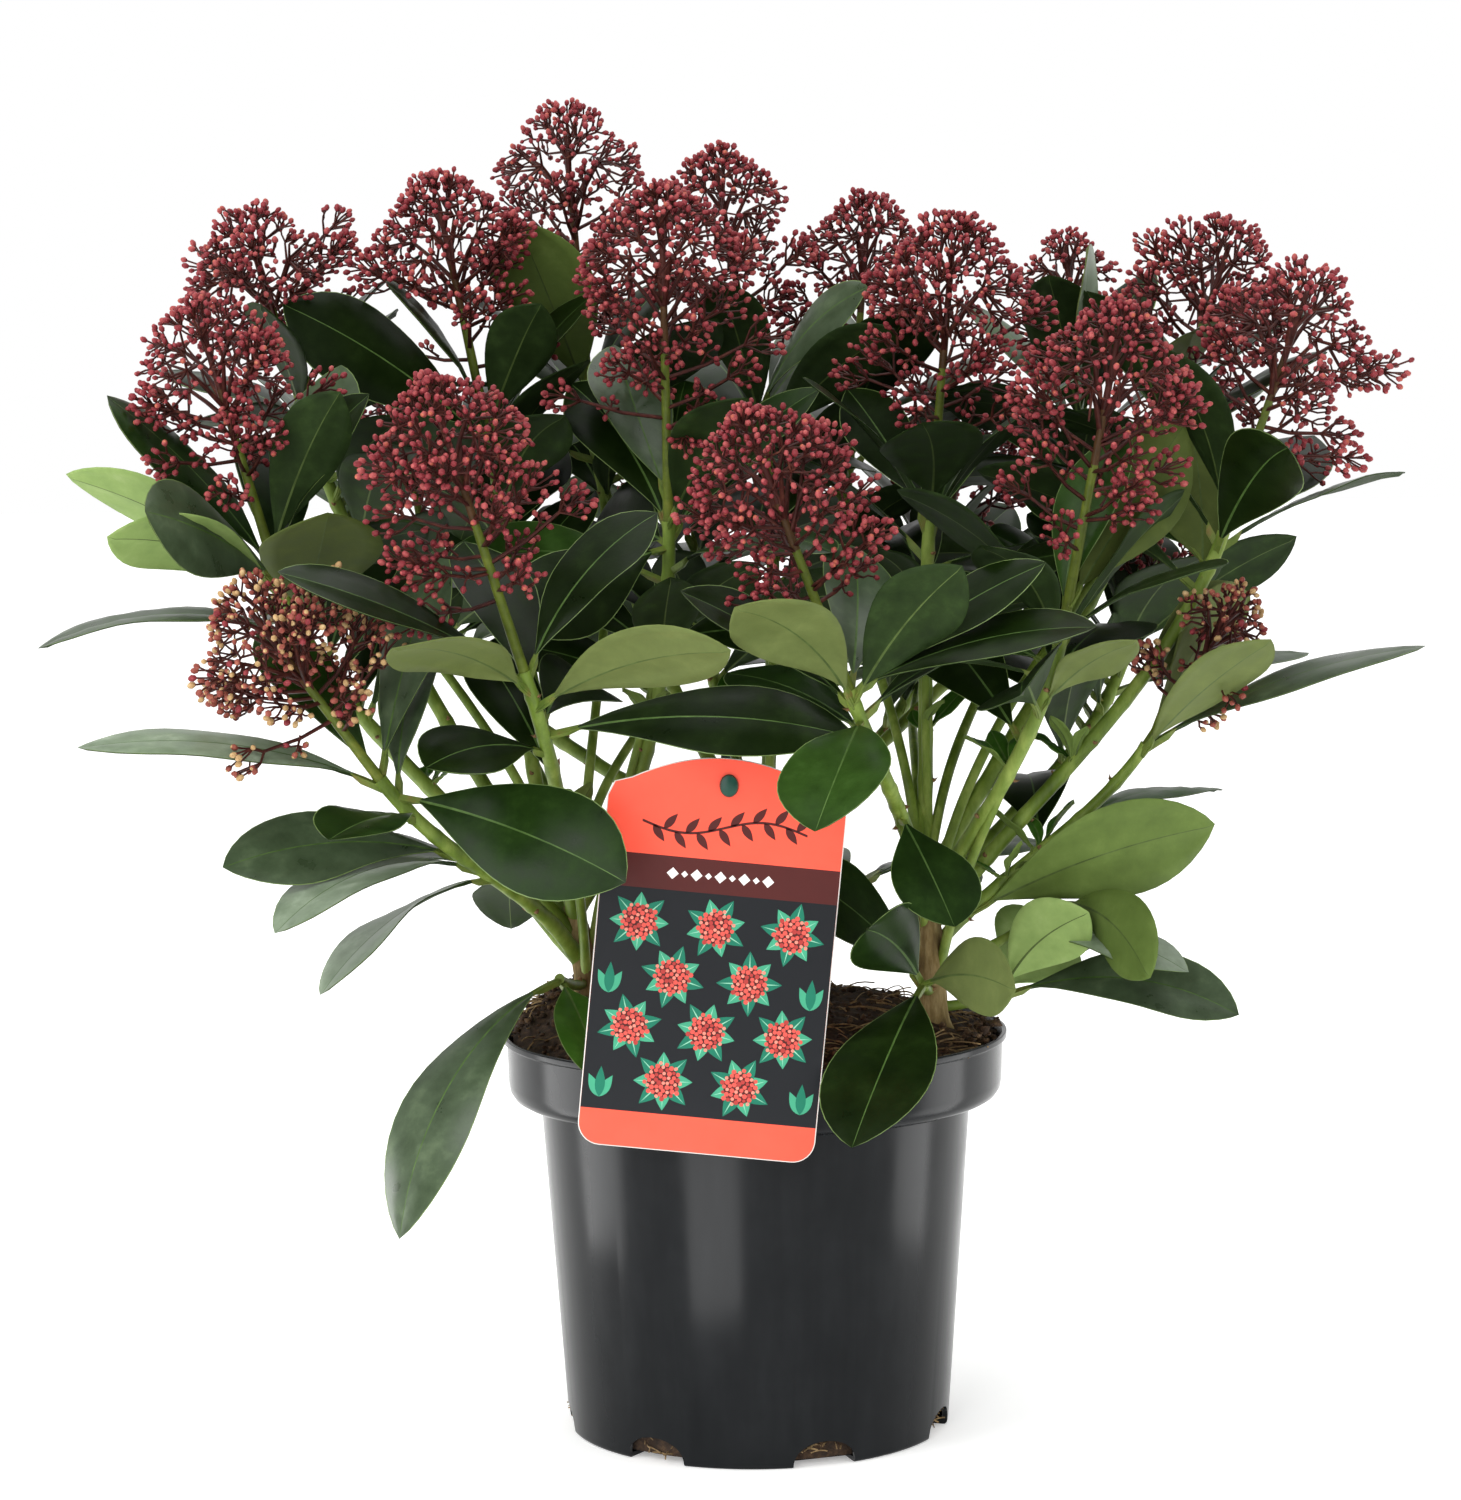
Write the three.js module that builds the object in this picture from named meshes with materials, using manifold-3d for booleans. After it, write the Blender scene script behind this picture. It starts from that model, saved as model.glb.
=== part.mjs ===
// A potted Japanese skimmia in flower bud: a plastic nursery pot of compost, three short woody
// stems, a bough to each shoot, and on each bough a mass of leaves under a panicle of red buds.
// All sizes are millimetres. The origin is the centre of the pot's underside, +X is to the
// right, +Y is to the back and +Z is up.
import * as THREE from "three";
import { mergeVertices } from "three/addons/utils/BufferGeometryUtils.js";
import Module from "manifold-3d";

const wasm = await Module();
wasm.setup();

const CLEAR = 0.3;                    // air between two pieces that touch
const GOLDEN_ANGLE = 137.5;           // degrees from one leaf or side twig to the next

const POT = {
  height: 150, rimRadius: 95, lipHeight: 3, collarRadius: 93.4, collarFootRadius: 92.8,
  collarHeight: 25, collarRounding: 7, bodyTopRadius: 81, baseRadius: 72, footRounding: 1.5,
  wall: 1.6, sides: 28,
};
const DRAIN = { count: 7, firstTurn: 238, width: 24, height: 9.5, depth: 11 };
const COMPOST = { edgeHeight: 145, moundHeight: 160, rings: [80, 50, 26] };
const HEAP = { x: -66, y: 18, radius: 46, height: 12 };   // crumbs heaped over the left rim

// Woody stems: foot and fork are the ends of the axis. Each foot is cut flat in the compost.
const TRUNKS = {
  right_stem: { foot: [67, -20, 150], fork: [62, -17, 208], footRadius: 8.5, forkRadius: 6.2 },
  left_stem: { foot: [-62, -2, 153], fork: [-68, 4, 196], footRadius: 8, forkRadius: 5.8 },
  back_stem: { foot: [4, 40, 152], fork: [6, 46, 206], footRadius: 8, forkRadius: 5.8 },
};
const TRUNK_SIDES = 8;
const FLARE = { height: 9, spread: 1.45 };            // root flare over the foot radius
const BOUGH = { footRadius: 3.8, tipRadius: 2.7, sides: 5, steps: 5 };
const STALK = { radius: 3.3, sides: 3, step: 22 };    // young stem and flower stalk of a mass

// Shoots: the stem each springs from and how far up it (rise), the whorl where its leaves
// crowd, and the apex of its panicle. leafy is the length of leafy stem under the whorl. marked
// leaves are the ones that draw the plant's outline, as turn round the stem (0 right, 90 back),
// lift, length, width, droop, roll and distance under the whorl. The rest grow by rule.
const SHOOTS = [
  { name: "front_mid", stem: "right_stem", rise: 0.95, whorl: [34, -110, 286], apex: [-3, -120, 386],
    marked: [[230, 30, 76, 34, 45, 35, 6], [255, -25, 76, 38, 40, 0, 12], [340, 15, 92, 34, 30, 30, 1]] },
  { name: "right_front", stem: "right_stem", rise: 0.8, whorl: [112, -60, 303], apex: [134, -70, 422],
    marked: [[310, 50, 88, 40, 15, 0, -8], [315, 20, 80, 34, 30, 25, 2]] },
  { name: "low_right", stem: "right_stem", rise: 0.5, whorl: [146, -20, 258], apex: [183, -30, 317],
    size: 0.6, leafy: 98, leaves: 6,
    marked: [[320, 35, 78, 30, 20, -10, 4], [350, 20, 110, 32, 30, 20, 1], [355, 20, 98, 42, 20, -60, 92],
      [40, 5, 80, 32, 30, 20, 40]] },
  { name: "far_right", stem: "right_stem", rise: 0.65, whorl: [176, -10, 336], apex: [211, -10, 436],
    size: 1.1, marked: [[55, 25, 82, 34, 20, 20, 0], [30, 20, 94, 30, 25, 25, 6]] },
  { name: "far_right_back", stem: "right_stem", rise: 0.9, whorl: [164, 60, 377], apex: [192, 70, 456] },
  { name: "mid_right", stem: "right_stem", rise: 1, whorl: [68, 10, 341], apex: [78, 0, 457],
    size: 1.1, marked: [[265, 25, 78, 38, 30, 0, -4], [305, 15, 92, 40, 30, 30, 34]] },
  { name: "low_left", stem: "left_stem", rise: 0.5, whorl: [-131, -90, 255], apex: [-182, -100, 326],
    leafy: 84, leaves: 5,
    marked: [[190, 9, 110, 30, 35, -20, 4], [50, 68, 88, 34, 10, 0, 0], [150, 50, 80, 32, 20, 0, 0],
      [250, 0, 70, 30, 30, 0, 20], [200, 0, 88, 34, 40, -45, 48], [225, -10, 92, 34, 60, -30, 60],
      [220, -25, 86, 30, 50, 20, 68], [330, -15, 100, 42, 25, 50, 8]] },
  { name: "front_left", stem: "left_stem", rise: 0.9, whorl: [-79, -100, 293], apex: [-111, -110, 398],
    leafy: 46,
    marked: [[185, 25, 96, 32, 25, -35, 4], [235, 15, 78, 34, 40, 30, 8], [325, 15, 88, 34, 30, -30, 14],
      [350, 0, 112, 34, 35, 35, 26], [235, 0, 68, 30, 30, -30, 34]] },
  { name: "left", stem: "left_stem", rise: 0.7, whorl: [-174, -30, 328], apex: [-201, -40, 428],
    marked: [[190, 48, 90, 36, 20, -35, 4], [190, 30, 92, 32, 25, 40, 12], [225, 15, 80, 32, 25, 30, 8],
      [45, 60, 84, 36, 10, 0, -4], [200, 0, 102, 26, 50, -15, 30]] },
  { name: "back_left", stem: "left_stem", rise: 0.8, whorl: [-174, 60, 389], apex: [-194, 50, 465] },
  { name: "left_mid", stem: "left_stem", rise: 1, whorl: [-99, 40, 372], apex: [-119, 30, 476],
    marked: [[190, 35, 96, 40, 20, -50, 2]] },
  { name: "centre", stem: "left_stem", rise: 0.95, whorl: [-30, 0, 342], apex: [-31, -10, 469],
    size: 1.1, marked: [[115, 60, 76, 36, 10, 10, -8], [225, -20, 82, 36, 30, -40, 10]] },
  { name: "top_back", stem: "back_stem", rise: 1, whorl: [-63, 100, 387], apex: [-72, 100, 507],
    marked: [[245, 50, 90, 42, 10, 0, 0]] },
  { name: "centre_back", stem: "back_stem", rise: 1, whorl: [5, 80, 379], apex: [-13, 90, 488],
    size: 0.85, marked: [[45, 40, 80, 34, 25, 10, -2]] },
  { name: "mid_back", stem: "back_stem", rise: 0.95, whorl: [41, 100, 374], apex: [50, 110, 470],
    size: 0.85, marked: [[290, 35, 84, 38, 20, 0, 0]] },
  { name: "right_back", stem: "back_stem", rise: 0.9, whorl: [136, 140, 373], apex: [131, 150, 456],
    size: 0.65 },
  { name: "rear_left", stem: "back_stem", rise: 0.7, whorl: [-130, 130, 315], apex: [-146, 152, 402],
    size: 0.9 },
  { name: "rear_mid", stem: "back_stem", rise: 0.8, whorl: [-22, 150, 325], apex: [-26, 176, 415],
    size: 0.9 },
  { name: "rear_right", stem: "back_stem", rise: 0.75, whorl: [78, 150, 300], apex: [92, 178, 388],
    size: 0.9 },
  { name: "rear_far_right", stem: "right_stem", rise: 0.6, whorl: [150, 95, 285], apex: [178, 118, 366],
    size: 0.8 },
];

// Low leafy sprigs with no flowers, straight from a woody stem.
const SPRIGS = [
  { name: "low_front_left", stem: "left_stem", rise: 0.35, whorl: [-71, -48, 177],
    marked: [[227, -46, 124, 36, 75, -10, 0], [281, -30, 64, 26, 40, 0, 4]] },
  { name: "low_front_right", stem: "right_stem", rise: 0.3, whorl: [61, -58, 175],
    marked: [[240, -30, 92, 40, 35, 0, 0], [318, 18, 64, 28, 20, 40, 3], [275, 38, 62, 30, 30, 0, 0],
      [190, 42, 66, 36, 30, -40, 2]] },
  { name: "low_edge_right", stem: "right_stem", rise: 0.18, whorl: [93, -14, 164],
    marked: [[350, -4, 90, 30, 45, 30, 0], [60, 8, 72, 28, 40, 0, 2]] },
  { name: "low_far_right", stem: "right_stem", rise: 0.4, whorl: [116, -8, 197],
    marked: [[296, -18, 66, 28, 45, 0, 0], [29, -30, 66, 22, 40, 10, 2], [335, 0, 70, 28, 50, 25, 20]] },
  { name: "low_rear_left", stem: "left_stem", rise: 0.5, whorl: [-96, 48, 205],
    marked: [[150, -5, 92, 32, 40, 0, 0], [95, -20, 84, 30, 50, 0, 8], [200, 12, 80, 30, 40, 0, 4]] },
  { name: "low_rear_right", stem: "back_stem", rise: 0.4, whorl: [44, 84, 196],
    marked: [[60, -10, 96, 34, 50, 0, 0], [110, 0, 88, 32, 45, 0, 6], [10, 10, 80, 30, 35, 0, 3]] },
];
const LEAFY = 38;                     // leafy stem under a whorl
const LEAF = { length: 92, count: 10, rootWidth: 2, thickness: 1.2 };
// Swing and raise, in degrees, of a leaf that looks for a clear place.
const LEAF_TRIES = [
  [0, 0], [9, 0], [-9, 0], [0, 10], [0, -10], [16, 6], [-16, 6], [12, -10], [-12, -10], [24, 14], [-24, 14],
];
const SPRIG_RADII = [2.8, 2.6, 2.4, 2.3, 1.2];
const PANICLE = {
  sideTwigs: 4, reach: 33, clusterRadius: 9, twigRadius: 1.1,
  domeRadius: 31, domeHeight: 29, domeDrop: 27, hollow: 0.74,
};

const LABEL = {
  width: 84, height: 140, thickness: 1, corner: 8, arch: 10, holeRadius: 3.2, holeDrop: 9,
  hole: [-8, -97.4, 252], turn: 6,
};
const STAKE = {
  radius: 2.4, foot: [-13, -84, 132], top: [-9, -92.5, 264], sides: 10,
  pegRadius: 2.2, headRadius: 4.6, headThickness: 1.8,
};

// Colour and roughness of each kind of piece.
const PAINT = {
  pot: [0x36393b, 0.4], compost: [0x3b2a1d, 1], stem: [0x7d6b4e, 0.85], bough: [0x6c8038, 0.6],
  mass: [0x2f5428, 0.45], label: [0xf0664e, 0.35], stake: [0x2c6b3a, 0.4],
};

const point = (at) => new THREE.Vector3(...at);
const lerp = THREE.MathUtils.lerp;
const radians = THREE.MathUtils.degToRad;

// Seeded random numbers from 0 to 1, so that the same plant grows each time.
function seeded(seed) {
  let state = seed >>> 0;
  return () => {
    state = (state + 0x6d2b79f5) >>> 0;
    let mixed = Math.imul(state ^ (state >>> 15), 1 | state);
    mixed = (mixed + Math.imul(mixed ^ (mixed >>> 7), 61 | mixed)) ^ mixed;
    return ((mixed ^ (mixed >>> 14)) >>> 0) / 4294967296;
  };
}

// A three.js geometry as a solid that can be joined and cut.
function solidOf(geometry) {
  const bare = geometry.index ? geometry.clone() : geometry;
  bare.deleteAttribute("normal");
  bare.deleteAttribute("uv");
  const merged = mergeVertices(bare, 1e-4);
  return new wasm.Manifold(new wasm.Mesh({
    numProp: 3,
    vertProperties: new Float32Array(merged.attributes.position.array),
    triVerts: new Uint32Array(merged.index.array),
  }));
}

function geometryOf(solid) {
  const mesh = solid.getMesh();
  const geometry = new THREE.BufferGeometry();
  geometry.setAttribute("position", new THREE.BufferAttribute(mesh.vertProperties, 3));
  geometry.setIndex(new THREE.BufferAttribute(mesh.triVerts, 1));
  geometry.computeVertexNormals();
  return geometry;
}

// A closed skin over rings of points, each ring counter-clockwise seen from the end. A ring of
// one point is a tip.
function loft(rings) {
  const starts = [];
  let total = 0;
  for (const ring of rings) {
    starts.push(total);
    total += ring.length;
  }
  const faces = [];
  const cap = (start, size, forward) => {
    for (let k = 1; k < size - 1; k++) {
      faces.push(start, start + (forward ? k : k + 1), start + (forward ? k + 1 : k));
    }
  };
  cap(starts[0], rings[0].length, false);
  for (let i = 1; i < rings.length; i++) {
    const [a, b] = [starts[i - 1], starts[i]];
    const [m, n] = [rings[i - 1].length, rings[i].length];
    for (let k = 0; k < Math.max(m, n); k++) {
      const next = (k + 1) % Math.max(m, n);
      if (m > 1) faces.push(a + k, a + next, n > 1 ? b + next : b);
      if (n > 1) faces.push(m > 1 ? a + k : a, b + next, b + k);
    }
  }
  cap(starts.at(-1), rings.at(-1).length, true);
  const geometry = new THREE.BufferGeometry().setFromPoints(rings.flat());
  geometry.setIndex(faces);
  return solidOf(geometry);
}

// A limb through points with a radius at each. Its rings don't twist, and its ends are cut
// square to the given directions.
function limb(points, radii, sides, firstWay, lastWay) {
  const side = new THREE.Vector3(0.3, 1, 0.1);
  return loft(points.map((p, i) => {
    const chord = (points[i + 1] ?? p).clone().sub(points[i - 1] ?? p).normalize();
    const along = (i === 0 && firstWay) || (i === points.length - 1 && lastWay) || chord;
    side.addScaledVector(along, -side.dot(along)).normalize();
    const across = along.clone().cross(side);
    return Array.from({ length: sides }, (_, k) => {
      const turn = (k / sides) * Math.PI * 2;
      return p.clone().addScaledVector(side, Math.cos(turn) * radii[i])
        .addScaledVector(across, Math.sin(turn) * radii[i]);
    });
  }));
}

// The same limb grown by the air that its neighbours keep.
function grownLimb(points, radii, sides) {
  const air = CLEAR / Math.cos(Math.PI / sides) + 0.03;
  const ends = [points[0].clone().sub(points[1]), points.at(-1).clone().sub(points.at(-2))];
  const grown = points.map((p) => p.clone());
  grown[0].addScaledVector(ends[0].normalize(), air);
  grown.at(-1).addScaledVector(ends[1].normalize(), air);
  return limb(grown, radii.map((r) => r + air), sides);
}

function largestBody(solid) {
  return solid.decompose().reduce((best, body) => (body.volume() > best.volume() ? body : best));
}

function makePot() {
  const { height: top, rimRadius: rim, collarFootRadius: foot, collarRounding: round, wall } = POT;
  const shelf = top - POT.collarHeight;
  const lip = top - POT.lipHeight;
  const profile = [
    [0, 0], [POT.baseRadius - POT.footRounding, 0], [POT.baseRadius, POT.footRounding],
    [POT.bodyTopRadius, shelf], [foot - round, shelf], [foot - round * 0.3, shelf + round * 0.3],
    [foot, shelf + round], [POT.collarRadius, lip], [rim, lip + 0.8], [rim, top - 0.6],
    [rim - 0.6, top], [rim - wall, top], [POT.collarRadius - wall, lip], [foot - wall, shelf + round],
    [foot - round - 0.4, shelf + wall], [POT.bodyTopRadius - wall, shelf + wall],
    [POT.baseRadius - wall, wall], [0, wall],
  ];
  const lathe = new THREE.LatheGeometry(profile.map(([r, z]) => new THREE.Vector2(r, z)), POT.sides);
  let pot = solidOf(lathe.rotateX(Math.PI / 2));
  for (let i = 0; i < DRAIN.count; i++) {
    const turn = DRAIN.firstTurn + (i * 360) / DRAIN.count;
    const arch = new THREE.CylinderGeometry(1, 1, DRAIN.depth * 2, 8);
    arch.rotateZ(Math.PI / 2).scale(1, DRAIN.width / 2, DRAIN.height);
    arch.translate(POT.baseRadius, 0, 0).rotateZ(radians(turn));
    pot = pot.subtract(solidOf(arch));
  }
  return pot;
}

// Height of the compost's top at a place: a low mound, heaped higher at the left.
function compostTop(x, y) {
  const far = Math.hypot(x, y) / (POT.rimRadius - POT.wall);
  const heap = Math.max(0, 1 - Math.hypot(x - HEAP.x, y - HEAP.y) / HEAP.radius);
  const ripple = Math.sin(x * 0.13 + 1) * Math.cos(y * 0.11) * 1.6 * (1 - far);
  return lerp(COMPOST.moundHeight, COMPOST.edgeHeight, far ** 4) + HEAP.height * heap + ripple;
}

function makeCompost(pits) {
  const gap = POT.wall + CLEAR + 0.15;
  const shelf = POT.height - POT.collarHeight;
  const profile = [
    [0, POT.wall + CLEAR], [POT.baseRadius - gap, POT.wall + CLEAR],
    [POT.bodyTopRadius - gap, shelf + gap], [POT.collarFootRadius - POT.collarRounding - gap, shelf + gap],
    [POT.collarFootRadius - gap - 0.2, shelf + POT.collarRounding + 0.6],
    [POT.collarRadius - gap - 0.2, COMPOST.edgeHeight],
    ...COMPOST.rings.map((r) => [r, POT.height]), [0, POT.height],
  ];
  const lathe = new THREE.LatheGeometry(profile.map(([r, z]) => new THREE.Vector2(r, z)), POT.sides);
  lathe.rotateX(Math.PI / 2);
  const at = lathe.attributes.position;
  for (let i = 0; i < at.count; i++) {
    if (at.getZ(i) > POT.height - 0.01) at.setZ(i, compostTop(at.getX(i), at.getY(i)));
  }
  return pits.reduce((compost, pit) => compost.subtract(pit), solidOf(lathe));
}

// A woody stem, flared at its flat foot, and the pit that it stands in.
function makeTrunk({ foot, fork, footRadius, forkRadius }) {
  const [low, high] = [point(foot), point(fork)];
  const axis = high.clone().sub(low);
  const rises = [0, FLARE.height / axis.z / 2, FLARE.height / axis.z, 0.45, 0.72, 0.93, 1];
  const bows = [0, 0, 0.2, 1, 0.8, 0.2, 0];
  const points = rises.map((rise, i) => low.clone().addScaledVector(axis, rise)
    .add(new THREE.Vector3(bows[i] * 1.2, -bows[i] * 1.5, 0)));
  const radii = rises.map((rise) => {
    const flare = Math.max(0, 1 - (rise * axis.z) / FLARE.height) ** 2;
    return lerp(footRadius, forkRadius, rise) * (1 + (FLARE.spread - 1) * flare) * (rise === 1 ? 0.7 : 1);
  });
  const solid = limb(points, radii, TRUNK_SIDES);
  const box = new THREE.BoxGeometry(60, 60, 20).translate(low.x, low.y, low.z - 10);
  const pit = new THREE.CylinderGeometry(1, 1, 60, 10).rotateX(Math.PI / 2);
  const pitRadius = footRadius * FLARE.spread + 1;
  pit.scale(pitRadius, pitRadius, 1).translate(low.x, low.y, low.z - CLEAR + 30);
  return { points, radii, solid: largestBody(solid.subtract(solidOf(box))), pit: solidOf(pit) };
}

// The point a share of the way up a woody stem.
function onTrunk({ foot, fork }, rise) {
  return point(foot).lerp(point(fork), rise);
}

// The centre line of a shoot: a bough that leaves its stem outward and bends up to the whorl,
// cut where the leafy stem begins, and a straight flower stalk.
function shootPath(shoot) {
  const start = onTrunk(TRUNKS[shoot.stem], shoot.rise);
  const [whorl, apex] = [point(shoot.whorl), point(shoot.apex)];
  const reach = whorl.distanceTo(start);
  const outward = whorl.clone().sub(start).setZ(0).normalize();
  const leave = outward.multiplyScalar(0.6).add(new THREE.Vector3(0, 0, 0.8));
  const near = start.clone().addScaledVector(leave, reach * 0.33);
  const stalk = apex.clone().sub(whorl).normalize();
  const far = whorl.clone().addScaledVector(stalk, -reach * 0.33);
  const curve = new THREE.CubicBezierCurve3(start, near, far, whorl);
  curve.arcLengthDivisions = 60;
  const length = curve.getLength();
  const leafyFrom = 1 - (shoot.leafy ?? LEAFY) / length;
  return { curve, length, leafyFrom, whorl, apex, stalk };
}

function boughLine(shoot, path) {
  const end = path.leafyFrom - (CLEAR + 0.02) / path.length;
  const shares = Array.from({ length: BOUGH.steps + 1 }, (_, i) => i / BOUGH.steps);
  const girth = shoot.size < 0.7 ? 0.85 : 1;
  return {
    points: shares.map((t) => path.curve.getPointAt(t * end)),
    radii: shares.map((t) => lerp(BOUGH.footRadius, BOUGH.tipRadius, t) * girth),
    end: path.curve.getTangentAt(end),
  };
}

// The leafy young stem of a mass and the bare flower stalk over it.
function makeStalk(shoot, path) {
  const leafySteps = Math.ceil((shoot.leafy ?? LEAFY) / STALK.step);
  const points = Array.from({ length: leafySteps + 1 }, (_, k) => (
    path.curve.getPointAt(lerp(path.leafyFrom, 0.995, k / leafySteps))));
  points.push(...[0.35, 0.8].map((share) => path.whorl.clone().lerp(path.apex, share)));
  const radii = points.map((_, k) => STALK.radius * (k <= leafySteps ? 1 : 0.7));
  return limb(points, radii, STALK.sides, path.curve.getTangentAt(path.leafyFrom));
}

// A sprig's centre line: it sags a little on its way out and ends in an upright bud.
function sprigPath({ stem, rise, whorl: end }) {
  const start = onTrunk(TRUNKS[stem], rise);
  const whorl = point(end);
  const middle = start.clone().lerp(whorl, 0.5);
  middle.z -= 0.06 * start.distanceTo(whorl);
  const curve = new THREE.QuadraticBezierCurve3(start, middle, whorl);
  const points = [0, 0.4, 0.75, 1].map((t) => curve.getPoint(t));
  points.push(new THREE.Vector3(whorl.x, whorl.y, whorl.z + 9));
  return { curve, points, length: curve.getLength(), whorl, stalk: new THREE.Vector3(0, 0, 1) };
}

// Leaf outline: half width as a share of the widest, from the root (0) to the tip (1).
function leafHalfWidth(s) {
  const blade = Math.max(0, (s - 0.08) / 0.92);
  return (blade ** 1.1 * (1 - blade) ** 0.7) / 0.3003;
}

// Frame on a leaf's midrib at s. The midrib is an arc that droops evenly over its length.
function leafFrame(leaf, s) {
  const [turn, lift, droop, roll] = [leaf.turn, leaf.lift, leaf.droop, leaf.roll].map(radians);
  const first = lift + droop / 2;
  const here = first - droop * s;
  const run = (leaf.length * (Math.sin(first) - Math.sin(here))) / droop;
  const climb = (leaf.length * (Math.cos(here) - Math.cos(first))) / droop;
  const centre = new THREE.Vector3(Math.cos(turn) * run, Math.sin(turn) * run, climb).add(leaf.root);
  const along = new THREE.Vector3(
    Math.cos(turn) * Math.cos(here), Math.sin(turn) * Math.cos(here), Math.sin(here));
  const level = new THREE.Vector3(-Math.sin(turn), Math.cos(turn), 0);
  const rise = along.clone().cross(level);
  const side = level.clone().multiplyScalar(Math.cos(roll)).addScaledVector(rise, Math.sin(roll));
  const up = along.clone().cross(side);
  return { centre, along, side, up };
}

// A leaf as a thin closed blade, folded a little along its midrib.
function makeLeaf(leaf, stations = [0, 0.4, 0.76]) {
  const rings = stations.map((s) => {
    const { centre, side, up } = leafFrame(leaf, s);
    const half = s === 0 ? LEAF.rootWidth / 2 : leafHalfWidth(s) * 1.06 * leaf.width / 2;
    const edge = (sign) => centre.clone().addScaledVector(side, sign * half);
    return [edge(1), edge(-1), centre.clone().addScaledVector(up, -LEAF.thickness * (s === 0 ? 0.8 : 1))];
  });
  return loft([...rings, [leafFrame(leaf, 1).centre]]);
}

// The leaves of a shoot by rule: they climb the leafy stem by the golden angle, low ones level
// and long, the last ones shorter and raised round the flower stalk.
function whorlLeaves(shoot, path, seed) {
  const random = seeded(seed);
  const count = shoot.leaves ?? (shoot.apex ? LEAF.count : 0);
  const marked = shoot.marked ?? [];
  const leaves = marked.map(([turn, lift, length, width, droop, roll, below = 6]) => (
    { turn, lift, length, width, droop, roll, below, marked: true }));
  let turn = random() * 360;
  for (let i = 0; i < count; i++) {
    const climb = i / (count - 1);
    turn += GOLDEN_ANGLE + (random() - 0.5) * 24;
    const leaf = {
      turn, lift: lerp(4, 60, climb ** 1.2) + (random() - 0.5) * 24,
      length: LEAF.length * lerp(1.04, 0.8, climb) * lerp(0.88, 1.1, random()),
      droop: lerp(22, 52, random()), roll: (random() - 0.5) * 80,
      below: lerp((shoot.leafy ?? LEAFY) - 5, -3, climb ** 0.6),
    };
    leaf.width = leaf.length * lerp(0.34, 0.41, random());
    const apart = (other) => Math.abs(((turn - other.turn) % 360 + 540) % 360 - 180);
    if (!leaves.some((other) => other.marked && apart(other) < 26)) leaves.push(leaf);
  }
  for (const leaf of leaves) {
    leaf.root = leaf.below > 0 ? path.curve.getPointAt(1 - leaf.below / path.length)
      : path.whorl.clone().addScaledVector(path.stalk, -leaf.below);
  }
  return leaves;
}

// Side twigs of a panicle, long and separate under its dome. Each ends in a cluster of buds.
function panicleTwigs(shoot, path, seed) {
  const random = seeded(seed);
  const size = shoot.size ?? 1;
  const side = new THREE.Vector3(1, 0, 0).addScaledVector(path.stalk, -path.stalk.x).normalize();
  const across = path.stalk.clone().cross(side);
  const twigs = [];
  let turn = random() * 360;
  const count = size < 0.9 ? PANICLE.sideTwigs - 1 : PANICLE.sideTwigs;
  for (let i = 0; i < count; i++) {
    const climb = i / (count - 1);
    turn += GOLDEN_ANGLE;
    const from = path.whorl.clone().lerp(path.apex, lerp(0.34, 0.55, climb));
    const spread = radians(lerp(60, 50, climb) + (random() - 0.5) * 14);
    const reach = PANICLE.reach * size * lerp(0.88, 1.1, random());
    const out = side.clone().multiplyScalar(Math.cos(radians(turn)))
      .addScaledVector(across, Math.sin(radians(turn)));
    const direction = path.stalk.clone().multiplyScalar(Math.cos(spread))
      .addScaledVector(out, Math.sin(spread));
    const radius = PANICLE.clusterRadius * size ** 0.5 * lerp(0.88, 1.1, random());
    twigs.push({ from, tip: from.clone().addScaledVector(direction, reach), direction, radius });
  }
  return twigs;
}

// The dome of a panicle: twelve lobes of close buds round the top of the flower stalk.
function makeDome(shoot, path, seed) {
  const random = seeded(seed + 7);
  const size = shoot.size ?? 1;
  const ball = new THREE.IcosahedronGeometry(1, 1);
  ball.deleteAttribute("normal");
  ball.deleteAttribute("uv");
  const dome = mergeVertices(ball, 1e-4);
  const corners = new THREE.IcosahedronGeometry(1, 0).attributes.position;
  const at = dome.attributes.position;
  const [spot, corner] = [new THREE.Vector3(), new THREE.Vector3()];
  for (let i = 0; i < at.count; i++) {
    spot.fromBufferAttribute(at, i);
    let lobe = false;
    for (let k = 0; k < corners.count; k++) {
      lobe ||= spot.distanceTo(corner.fromBufferAttribute(corners, k)) < 0.1;
    }
    const out = size * (lobe ? 1 : PANICLE.hollow) * lerp(0.92, 1.08, random());
    spot.multiplyScalar(out * PANICLE.domeRadius);
    at.setXYZ(i, spot.x, spot.y, (spot.z * PANICLE.domeHeight) / PANICLE.domeRadius);
  }
  const upright = new THREE.Quaternion().setFromUnitVectors(new THREE.Vector3(0, 0, 1), path.stalk);
  const centre = path.apex.clone().addScaledVector(path.stalk, -PANICLE.domeDrop * size);
  return solidOf(dome.rotateZ(random() * 6).applyQuaternion(upright).translate(...centre));
}

function ringAround(centre, direction, radius, sides) {
  const side = new THREE.Vector3(0.4, 0.2, 1).cross(direction).normalize();
  const across = direction.clone().cross(side);
  return Array.from({ length: sides }, (_, k) => {
    const turn = (k / sides) * Math.PI * 2;
    return centre.clone().addScaledVector(side, Math.cos(turn) * radius)
      .addScaledVector(across, Math.sin(turn) * radius);
  });
}

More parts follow.
